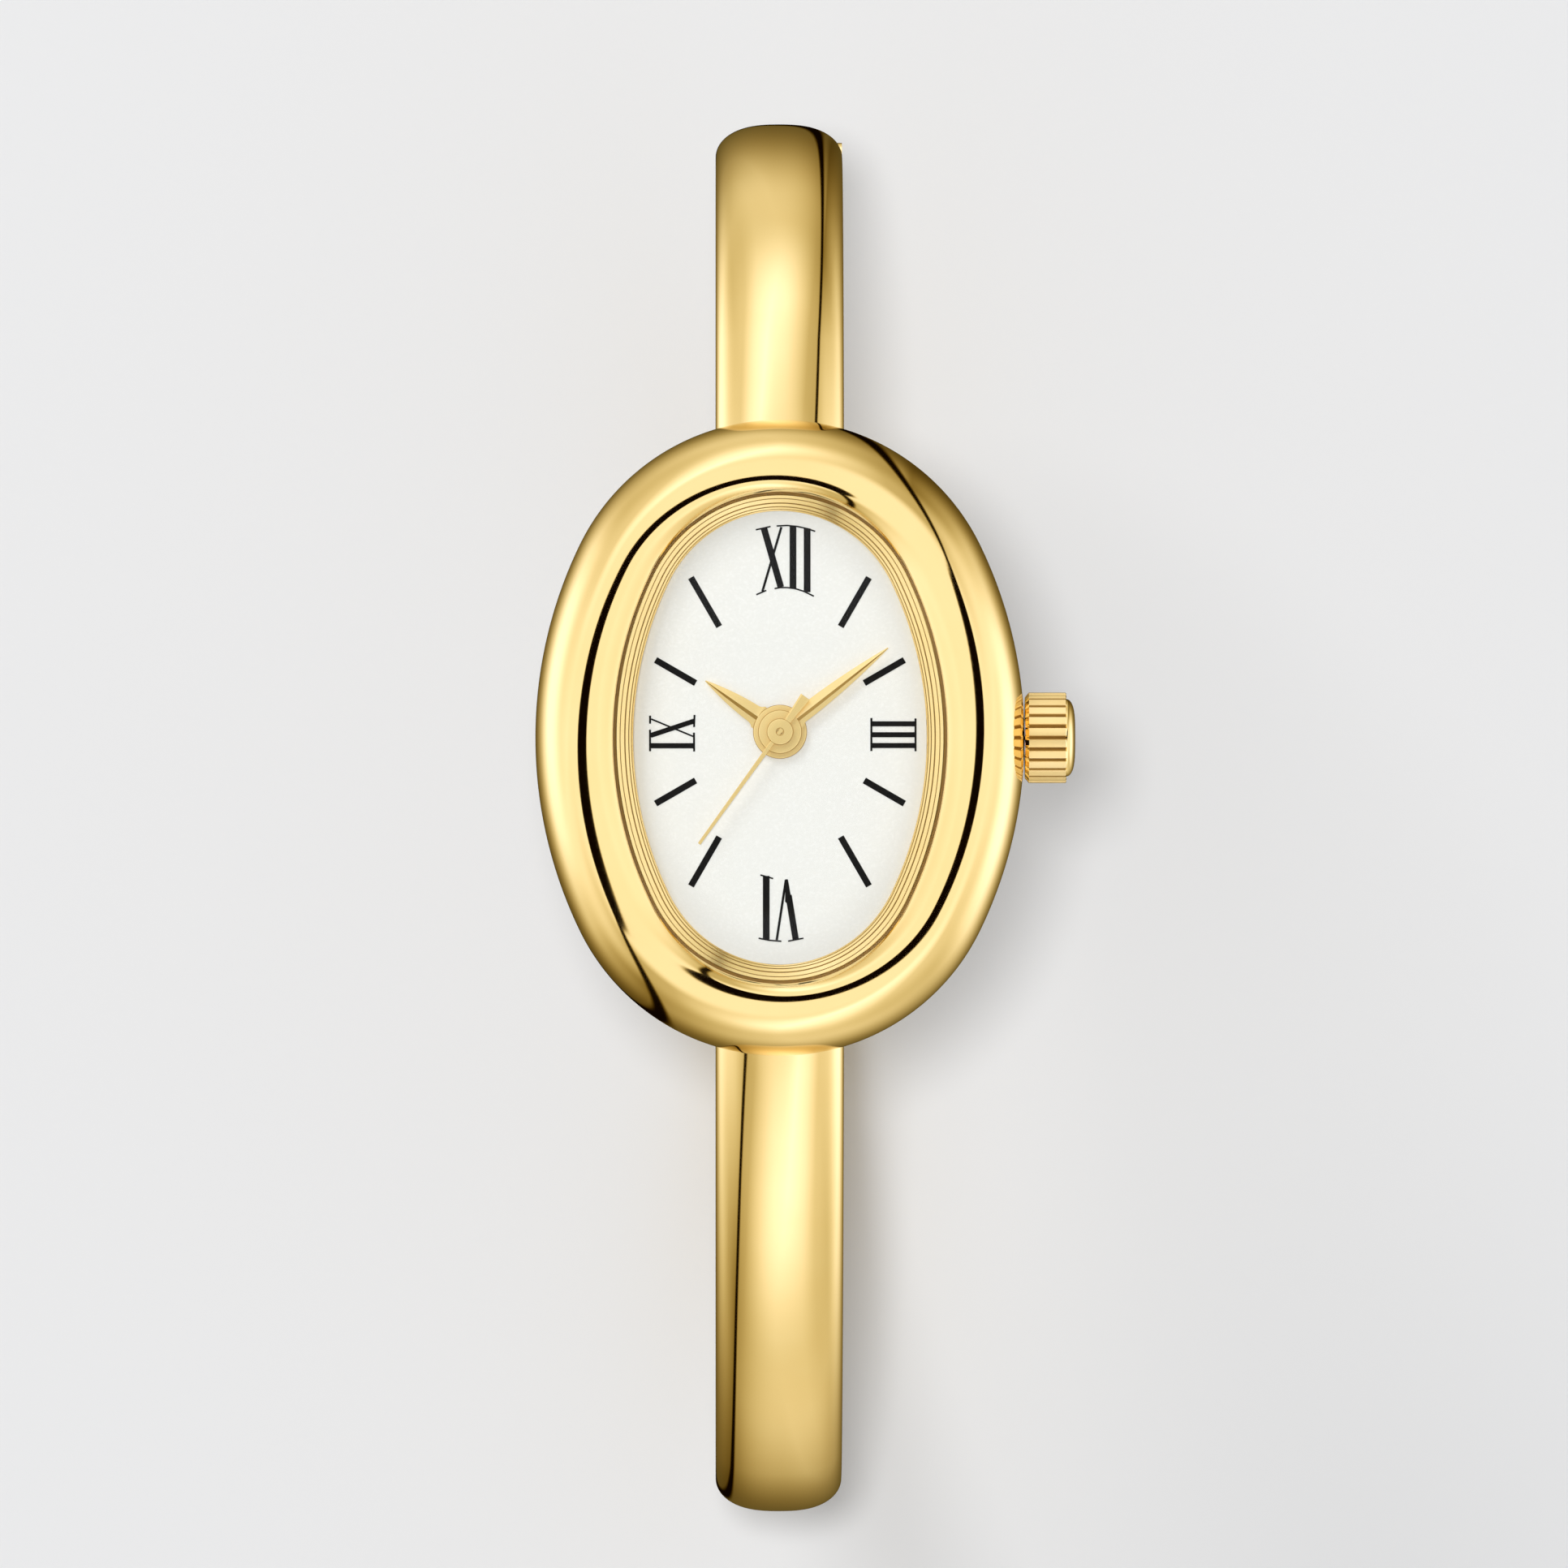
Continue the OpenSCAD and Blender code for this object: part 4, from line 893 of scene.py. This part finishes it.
hour_hand_a = hour_mark_a + minute_hand_a / 12
leaf("hour_leaf", "hours", hour_l, hour_w, hour_hub_d / 2, hand_place(hour_z, hour_hand_a), 1)
leaf("minute_leaf", "minutes", minute_l, minute_w, minute_hub_d / 2,
     hand_place(minute_z, minute_hand_a), -1)
for piece, body, node in [
    (washer("hour_washer", hour_hub_d, hour_z, hour_hole_r), "hours", "hour_hand"),
    (washer("minute_washer", minute_hub_d, minute_z, minute_hole_r), "minutes", "minute_hand"),
    (washer("second_washer", second_hub_d, second_z, dimple_r, dimple_floor), "seconds",
     "second_hand"),
]:
    finish_piece(piece, gold_satin, body, [node], sharp=25)
    # Painted shade: the washers' steep soft edges get the dark brown gold
    add_tones(piece, [gold_painted_shade], lambda _, face: abs(face.normal.z) < level_share)

# %% Second hand with its counterweight
tail_l = 1.81
needle_w = 0.19
needle_tip_w = 0.13
tail_w = 0.44
tail_neck_w = 0.2
tail_step = 0.01
needle_t = hand_t * 0.8
bevel_from = needle_t * 0.6
flat_share = 0.65


def needle(place):
    sections = []
    for y, w in [(-tail_l, tail_w), (0, tail_neck_w), (tail_step, needle_w),
                 (second_l, needle_tip_w)]:
        half = w / 2
        flat = half * flat_share
        ring = [(half, leaf_lift), (half, bevel_from), (flat, needle_t),
                (-flat, needle_t), (-half, bevel_from), (-half, leaf_lift)]
        sections.append([place @ Vector((x, y, z)) for x, z in ring])
    return skin("second_needle", sections, False)


finish_piece(needle(hand_place(second_z, second_hand_a)), gold_satin, "seconds", sharp=25)

# %% [markdown]
# ## Printing
#
# The figures are pad-printed: heavy strokes, hairlines, and serifs that follow the oval. Each
# stroke is a plate two hundredths of a millimetre thick, written as the line that its middle
# follows and a width. The batons are four pairs of plain bars round the hands' axis.

# %% Strokes as thin plates
print_t = 0.02
layer_share = 0.01
heavy_w = 0.282
baton_w = 0.27
thin_w = 0.1
serif_w = 0.062


def strip(line, w):
    """The outline of a bar of even width along a line of points."""
    left, right = [], []
    for i, (x, y) in enumerate(line):
        x0, y0 = line[max(i - 1, 0)]
        x1, y1 = line[min(i + 1, len(line) - 1)]
        size = sqrt((x1 - x0) ** 2 + (y1 - y0) ** 2)
        dx, dy = (y0 - y1) / size * w / 2, (x1 - x0) / size * w / 2
        left.append((x + dx, y + dy))
        right.append((x - dx, y - dy))
    return left + right[::-1]


def plates(name, outlines, z):
    """One mesh of many thin plates, each a hair thicker than the one before."""
    points, faces = [], []
    for i, outline in enumerate(outlines):
        n, low = len(outline), len(points)
        top = z + print_t * (1 + layer_share * i)
        points += [(x, y, h) for h in (z, top) for x, y in outline]
        caps = [tuple(reversed(range(n))), tuple(range(n, 2 * n))]
        faces += [tuple(low + c for c in face) for face in caps + row_quads(2, n)]
    return mesh_object(name, points, faces)


# %% Batons and numerals
LONG_BATON = (5.09, 7.46)
SHORT_BATON = (4.08, 6.02)


def baton(hour, reach):
    a = radians(30 * hour)
    line = [(r * sin(a), r * cos(a) + axis_up) for r in reach]
    return strip(line, baton_w)


STROKES = [
    # XII
    (heavy_w * 0.98, [(-0.67, 8.77), (0.036, 6.31)]),
    (heavy_w, [(0.545, 8.86), (0.545, 6.26)]),
    (heavy_w, [(1.14, 8.77), (1.14, 6.1)]),
    (thin_w, [(0.06, 8.83), (-0.736, 6.13)]),
    (serif_w, [(-1.012, 8.711), (-0.395, 8.852)]),
    (serif_w, [(-0.14, 8.873), (0.306, 8.895), (0.731, 8.852), (1.156, 8.759), (1.475, 8.648)]),
    (serif_w, [(-0.991, 5.995), (-0.574, 6.173)]),
    (serif_w, [(-0.225, 6.25), (0.01, 6.293), (0.306, 6.293), (0.646, 6.246), (0.986, 6.14),
               (1.42, 5.931)]),
    # VI
    (heavy_w, [(-0.576, -5.79), (-0.576, -8.45)]),
    (heavy_w * 0.94, [(0.36, -6.6), (0.66, -8.45)]),
    (thin_w, [(0.25, -5.95), (-0.136, -8.474)]),
    (thin_w, [(0.285, -5.95), (0.47, -7.0)]),
    (serif_w, [(-0.82, -5.75), (-0.289, -5.901)]),
    (serif_w, [(-0.893, -8.401), (-0.459, -8.486), (0.06, -8.529)]),
    (serif_w, [(0.34, -8.525), (0.986, -8.401)]),
    # IX
    (heavy_w * 0.78, [(-5.45, -0.336), (-3.59, -0.336)]),
    (heavy_w * 0.74, [(-5.42, 0.094), (-3.6, 0.7)]),
    (thin_w * 0.68, [(-5.4, 0.785), (-3.64, 0.057)]),
    (serif_w * 1.3, [(-5.442, 0.923), (-5.442, 0.591)]),
    (serif_w * 1.3, [(-5.445, 0.336), (-5.442, -0.566)]),
    (serif_w * 1.3, [(-3.58, 0.957), (-3.6, 0.446)]),
    (serif_w * 1.3, [(-3.605, 0.213), (-3.597, -0.578)]),
    # III
    *[(heavy_w * 0.76, [(3.82, y), (5.68, y)]) for y in (0.583, 0.125, -0.327)],
    (serif_w * 1.35, [(5.68, 0.808), (5.68, -0.566)]),
    (serif_w * 1.35, [(3.83, 0.825), (3.83, -0.557)]),
]
V_POINT = [(0.234, -5.93), (0.315, -5.93), (0.52, -6.95), (0.3, -6.95), (0.213, -6.87)]

outlines = [baton(hour, LONG_BATON) for hour in (1, 5, 7, 11)]
outlines += [baton(hour, SHORT_BATON) for hour in (2, 4, 8, 10)]
outlines += [strip(line, w) for w, line in STROKES] + [V_POINT]
finish_piece(plates("printed_figures", outlines, dial_top), ink, "case", ["dial_printing"])

# %% [markdown]
# ## Crown
#
# The crown is a small wheel with V-shaped flutes for the fingers, chamfered on the case's side,
# and a low polished cap on its end. Its radius sinks at each flute as it goes round, so the
# fluted band is one formula. The teeth are satin, and the flutes' bottoms are painted dark brown
# gold as painted shade.

# %% Fluted crown
crown_d = 3.8
crown_l = 1.7
crown_dome = 0.36
crown_flutes = 24
crown_x = half_w + 0.08
flute_d = 0.16
flute_share = 0.2
crown_edge = 0.2
crown_start = -0.05
recess_d = 2.5
recess_l = 1.24
crown_chamfer = 0.16
rim_back = 0.05
rim_lip = 0.02
rim_round = 0.04
cap_sink = 0.01
cap_power = 0.5
cap_r = (crown_d - 2 * crown_edge - flute_d) / 2
CROWN_COUNT = crown_flutes * 20
CAP_COUNT = 20
tone_margin = 0.1
tooth_share = 0.25


def flute_depth(a):
    """V-shaped valleys between broad teeth that are almost flat."""
    turns = a * crown_flutes / (2 * pi)
    off = abs(turns - round(turns))
    return flute_d * max(0, 1 - off / flute_share)


def crown_sections():
    """Sections from the axis on the case's side, over a tooth or a flute, to the cap's top."""
    profile = [(crown_start, crown_edge), (crown_start + crown_chamfer, 0.0),
               (crown_l - rim_back, 0.0), (crown_l - rim_lip, rim_round),
               (crown_l - rim_lip, crown_edge)]
    place = crown_place(crown_x)
    sections = []
    for a in spread(0, 2 * pi, CROWN_COUNT):
        ring = [polar(place, 0, a, crown_start)]
        for z, lower in profile:
            ring.append(polar(place, crown_d / 2 - max(flute_depth(a), lower), a, z))
        ring.append(polar(place, cap_r, a, crown_l - cap_sink))
        for t in spread(0, pi / 2, CAP_COUNT):
            ring.append(polar(place, cap_r * cos(t) ** cap_power, a,
                              crown_l + crown_dome * sin(t)))
        ring.append(polar(place, 0, a, crown_l + crown_dome))
        sections.append(ring)
    return sections


def crown_tone(_, face):
    """Slot 1, painted shade, for the flutes' valleys, slot 2, satin, for the teeth, 0 elsewhere.
    """
    x, y, z = face.center / MM
    sunk = crown_d / 2 - sqrt(y**2 + (z - crown_z) ** 2)
    if sunk >= flute_d or not tone_margin < x - crown_x < crown_l - tone_margin:
        return 0
    return 1 if sunk > flute_d * tooth_share else 2


crown = welded(skin("fluted_crown", crown_sections(), True))
cut(crown, rod_tool(recess_d / 2, crown_start - over, recess_l, crown_place(crown_x)))
finish_piece(crown, gold, "crown", ["crown"], sharp=30)
# Painted shade: the flutes' valleys get the dark brown gold
add_tones(crown, [gold_painted_shade, gold_satin], crown_tone)

# %% [markdown]
# ## Arms and gate
#
# The two arms and the gate are one bangle, cast and then parted at the hinge and the clasp. The
# same section runs along each. The arms end in tongues that go straight into the case, the
# lower arm carries two hinge knuckles, and the gate has the third and the snap tongue.

# %% Values of the hinge and the clasp
hinge_a = radians(105)
clasp_a = radians(97)
knuckle_r = 0.85
hinge_w = 4.6
hinge_pin_d = 0.6
bore_r = hinge_pin_d / 2 + fit
gate_open = radians(60)
hinge_depth = 1.05
relief_margin = radians(12.3)
relief_r = hinge_depth / cos((gate_open + relief_margin) / 2)
knuckle_gap = 0.08
knuckle_w = hinge_w / 3
leg_t = 1.1
clasp_depth = 1.0
end_gap = 0.15
snap_w = 2.6
snap_t = 0.55
snap_l = 2.1
button_d = 1.1
plunger_d = 0.5
button_up = snap_l / 2
button_floor_x = 1.95

hinge_place = band_place(-hinge_a) @ Matrix.Translation((0, -hinge_depth, 0))
hinge_y, hinge_z = band_point(-hinge_a, -hinge_depth)
clasp_y, clasp_z = band_point(clasp_a, -clasp_depth)
swing_a = atan2(clasp_z - hinge_z, clasp_y - hinge_y)
clasp_place = Matrix.Translation((0, clasp_y, clasp_z)) @ Matrix.Rotation(swing_a, 4, "X")
end_gap_a = end_gap / band_side_r
print("hinge at", round(hinge_y, 3), round(hinge_z, 3),
      "clasp at", round(clasp_y, 3), round(clasp_z, 3))

# %% Cutters of the hinge, the clasp and the screws
arm_screw_x = 1.3
arm_screw_d = 0.7
arm_screw_head_d = 1.2
arm_screw_head_t = 0.4
rim_r = 0.06


def across(x, place):
    return place @ Matrix.Translation((x, 0, 0)) @ ALONG_X


def hinge_hole(r):
    return rod_tool(r, -band_w, band_w, across(0, hinge_place))


def knuckle_tools(x, w, side):
    """A round knuckle with softened rims, and its leg."""
    profile = [(0, -w / 2), (knuckle_r - rim_r, -w / 2), (knuckle_r, -w / 2 + rim_r),
               (knuckle_r, w / 2 - rim_r), (knuckle_r - rim_r, w / 2), (0, w / 2)]
    body = turned_tool(profile, across(x, hinge_place))
    reach = relief_r + corner_r
    low = 0 if side > 0 else -reach
    half = w / 2 - rim_r / 2
    leg = box_tool((x - half, -leg_t / 2, low), (x + half, leg_t / 2, low + reach), hinge_place)
    return body, leg


def screw_tools(root):
    """One stepped cutter for each screw: its head's recess and the hole through the tongue."""
    head_r = arm_screw_head_d / 2 + fit
    hole_r = arm_screw_d / 2 + fit
    top = band_t + 2 * over
    profile = [(0, -over), (head_r, -over), (head_r, arm_screw_head_t),
               (hole_r, arm_screw_head_t), (hole_r, top), (0, top)]
    tools = []
    for side in (-1, 1):
        place = root @ Matrix.Translation((side * arm_screw_x, -band_t, tongue_l / 2))
        place = place @ Matrix.Rotation(-pi / 2, 4, "X")
        tools.append(turned_tool(profile, place))
    return tools


# %% Upper arm with the clasp's socket
upper_rings = [band_ring(root_a, tongue_l)] + [band_ring(a) for a in ring_angles(root_a, clasp_a)]
upper_arm = skin("upper_bangle_arm", upper_rings, False)
socket_low = (-snap_w / 2 - end_gap, -snap_t / 2 - end_gap, -2 * over)
socket_high = (snap_w / 2 + end_gap, snap_t / 2 + end_gap, snap_l + end_gap)
button_axis = clasp_place @ Matrix.Translation((0, 0, button_up)) @ ALONG_X
cut(upper_arm, box_tool(socket_low, socket_high, clasp_place),
    rod_tool(plunger_d / 2 + fit, snap_w / 2, band_w, button_axis),
    rod_tool(button_d / 2 + fit, button_floor_x, band_w, button_axis), *screw_tools(roots[0]))
finish_piece(upper_arm, gold, "case", ["upper_arm"])

# %% Lower arm with two knuckles
lower_rings = [band_ring(a) for a in ring_angles(-hinge_a, -root_a)]
lower_rings.append(band_ring(-root_a, -tongue_l))
lower_arm = skin("lower_bangle_arm", lower_rings, False)
cut(lower_arm, hinge_hole(relief_r))
for side in (-1, 1):
    join(lower_arm, *knuckle_tools(side * knuckle_w, knuckle_w - knuckle_gap, -1))
cut(lower_arm, hinge_hole(bore_r), *screw_tools(roots[1]))
finish_piece(welded(lower_arm), gold, "case", ["lower_arm"])

# %% Gate with one knuckle and the snap tongue
gate_rings = [band_ring(a) for a in ring_angles(clasp_a + end_gap_a, 2 * pi - hinge_a)]
gate = skin("bangle_gate", gate_rings, False)
cut(gate, hinge_hole(relief_r))
join(gate, *knuckle_tools(0, knuckle_w - knuckle_gap, 1))
tongue_low = (-snap_w / 2, -snap_t / 2, -snap_l / 2)
tongue_high = (snap_w / 2, snap_t / 2, snap_l)
join(gate, box_tool(tongue_low, tongue_high, clasp_place))
cut(gate, hinge_hole(bore_r))
finish_piece(gate, gold, "gate", ["back_gate"])

# %% [markdown]
# ## Pieces that keep their CAD shape
#
# Flat and turned pieces are exact already: screws, pins, plates, wheels and gaskets only need
# their finish. A table of finishes and the nodes that wear them does all of them in one loop.

# %% Dress the CAD nodes
DRESS = [
    (gold_brushed, ["case_back", "arm_screws", "hinge_pin"]),
    (gold, ["clasp_button"]),
    (lacquer, ["dial"]),
    (rubber, ["back_gasket", "crown_gasket"]),
    (amber, ["crystal_gasket"]),
    (plastic, ["movement_ring"]),
    (nickel, ["main_plate", "train_bridge"]),
    (blued, ["bridge_screws", "coil_core", "stator"]),
    (steel, ["button_cell", "quartz_can", "cannon_pinion", "stem", "setting_lever",
             "crown_tube", "clasp_spring"]),
    (brass, ["cell_contact", "intermediate_wheel", "fourth_wheel", "third_wheel",
             "center_wheel", "minute_wheel", "hour_wheel", "sliding_pinion"]),
    (board_green, ["circuit_board"]),
    (chip_plastic, ["driver_chip"]),
    (copper, ["coil_winding"]),
    (magnet, ["rotor"]),
]

for material, names in DRESS:
    for name in names:
        slots = nodes[name].data.materials
        for i in range(len(slots)):
            slots[i] = material
    print(material.name, "on", len(names), "nodes")

# %% [markdown]
# ## Floor and light
#
# The watch stands on its gate on a pale table, under a big soft tent. A polished object is lit
# by what it mirrors, so the tent shows mirrors a row of brighter and darker panels, and a narrow
# dark gap between two of them draws the black line that runs over the case. Matt pieces get an
# even light from it, and from two lamps that no mirror shows.

# %% Floor
floor_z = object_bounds()[0][2] / MM
floor_half = 1500.0


def pale_floor(graph):
    cloud = graph.noise(graph.place(), 3)
    colour = graph.blend(cloud, (0.82, 0.825, 0.835, 1), (0.81, 0.815, 0.825, 1))
    return principled(graph, colour, 0.7, Specular_IOR_Level=0.2)


floor_corners = [(x * floor_half, y * floor_half, floor_z)
                 for x, y in ((-1, -1), (1, -1), (1, 1), (-1, 1))]
floor = mesh_object("floor", floor_corners, [(0, 1, 2, 3)])
floor.data.materials.append(shade("pale_floor", pale_floor))
floor.visible_glossy = False

# %% World
TENT = 0.5
TOP_PANEL = 1.15
UNDER_SHARE = 0.3
# The gap's line is turned from 12 o'clock towards 3. It leans, more so at one end, and widens
# overhead
GAP_TURN = radians(33)
GAP_E = sin(GAP_TURN)
GAP_N = cos(GAP_TURN)
GAP_LEAN = 0.045
GAP_TWIST = 0.12
GAP_HALF = 0.03
GAP_WIDER = 0.13
GAP_LEVEL = 0.004
# A level's green and blue are these powers of it, so dim panels mirror a deeper gold
GREEN_POWER = 1.18
BLUE_POWER = 1.9
# Brightness round the tent, below and above the horizon. A place of 0.5 is the gap, and 0 and 1
# are a quarter turn before and after it
LOW_PANELS = [(0.0, 0.72), (0.08, 0.75), (0.15, 0.85), (0.23, 0.88), (0.32, 0.7), (0.42, 0.5),
              (0.49, 0.4), (0.51, 0.25), (0.63, 0.55), (0.725, 0.9), (0.81, 1.3), (0.89, 1.5),
              (1.0, 1.5)]
HIGH_PANELS = [(0.0, 0.85), (0.08, 0.9), (0.15, 1.25), (0.23, 1.5), (0.32, 1.05), (0.42, 0.65),
               (0.49, 0.6), (0.51, 0.6), (0.63, 0.92), (0.725, 1.12), (0.81, 1.2), (1.0, 1.05)]


def panels(graph, round_gap, levels):
    """Levels are shares of the brightest panel, since a ramp's colours stop at one."""
    brightest = max(level for _, level in levels)
    stops = [(place, (level / brightest,) * 3 + (1,)) for place, level in levels]
    ramp = graph.add("ShaderNodeValToRGB", {"stops": stops}, (round_gap,))["Color"]
    return graph.add("ShaderNodeRGBToBW", {}, (ramp,))["Val"] * brightest


def both_ways(graph, beside, front, levels):
    """The same row of panels on both sides of the tent, each side turned half round."""
    ahead = panels(graph, beside * 0.5 + 0.5, levels)
    behind = panels(graph, beside * -0.5 + 0.5, levels)
    return ahead * front + behind * (1 - front)


def tent(graph):
    """One even level for light, and the tent's panels with their gap for mirrors."""
    toward = graph.add("ShaderNodeTexCoord")["Generated"]
    axes = graph.add("ShaderNodeSeparateXYZ", {}, (toward,))
    x, y, z = axes["X"], axes["Y"], axes["Z"]
    along = x * GAP_E + y * GAP_N
    beside = x * GAP_N - y * GAP_E
    front = soft_step(graph, along, -0.3, 0.3)
    raised = soft_step(graph, z, -0.2, 0.4)
    overhead = soft_step(graph, z, 0.6, 0.9)
    low = both_ways(graph, beside, front, LOW_PANELS)
    low = low * (UNDER_SHARE + (1 - UNDER_SHARE) * soft_step(graph, z, -1.0, -0.35))
    high = both_ways(graph, beside, front, HIGH_PANELS)
    panel = low * (1 - raised) + high * raised
    panel = panel * (1 - overhead) + TOP_PANEL * overhead
    off_gap = abs(beside - (GAP_LEAN + GAP_TWIST * along) * z)
    half = GAP_HALF + GAP_WIDER * soft_step(graph, z, 0.8, 1.0)
    level = panel * soft_step(graph, off_gap - half, -0.012, 0.02) + GAP_LEVEL
    tones = (level, level**GREEN_POWER, level**BLUE_POWER)
    mirrored = graph.add("ShaderNodeCombineXYZ", {}, tones)["Vector"]
    seen = graph.add("ShaderNodeLightPath")["Is Glossy Ray"]
    colour = graph.blend(seen, (TENT, TENT, TENT, 1), mirrored)
    return graph.add("ShaderNodeBackground", {}, {"Color": colour, "Strength": 1.0})["Background"]


world = bpy.data.worlds.new("tent")
scene.world = world
world.use_nodes = True
sky = Graph(world.node_tree)
sky.add("ShaderNodeOutputWorld", {}, {"Surface": tent(sky)})

# %% Lamps
def soft_lamp(name, place, size, power):
    """A round lamp that shines at the watch and that no mirror shows."""
    data = bpy.data.lights.new(name, "AREA")
    data.shape = "DISK"
    data.size = size
    data.energy = power
    lamp = bpy.data.objects.new(name, data)
    scene.collection.objects.link(lamp)
    lamp.location = place
    lamp.rotation_euler = (-lamp.location).to_track_quat("-Z", "Y").to_euler()
    lamp.visible_glossy = False
    print(name, "at", place, "with", power, "W")


soft_lamp("overhead_lamp", (-0.035, 0.03, 1.0), size=0.09, power=4.0)
soft_lamp("side_lamp", (-0.4, 0.6, 0.65), size=0.4, power=2.2)

# %% [markdown]
# ## Camera
#
# The photograph looks straight down on the dial from about a metre, with a long lens: the frame
# is some 66 mm wide. The camera leans a sixth of a degree towards 9 o'clock.

# %% A long lens above the dial
PIXELS_PER_MM = 29.4
FRAME_PIXELS = 1932
CASE_AT = (961, 909)
AIM_H = 3.6
CAMERA_AWAY = 1000.0
LEAN_TO_NINE = radians(0.15)
SENSOR_W = 36

centre = FRAME_PIXELS / 2
aim_x = (centre - CASE_AT[0]) / PIXELS_PER_MM
aim_y = (CASE_AT[1] - centre) / PIXELS_PER_MM
aim = Vector((aim_x, aim_y, AIM_H))
away = Vector((-tan(LEAN_TO_NINE), 0, 1)).normalized()
camera_data = bpy.data.cameras.new("camera")
camera_data.sensor_width = SENSOR_W
camera_data.lens = SENSOR_W * CAMERA_AWAY / (FRAME_PIXELS / PIXELS_PER_MM)
camera_data.clip_start = 0.05
camera_data.clip_end = 10
camera = bpy.data.objects.new("camera", camera_data)
scene.collection.objects.link(camera)
side = Vector((0, 1, 0)).cross(away).normalized()
up = away.cross(side)
turn = Matrix((side, up, away)).transposed()
camera.matrix_world = Matrix.Translation((aim + away * CAMERA_AWAY) * MM) @ turn.to_4x4()
scene.camera = camera
scene.view_settings.view_transform = "Standard"
print("lens", round(camera_data.lens, 1), "mm, aimed at", [round(v, 3) for v in aim])
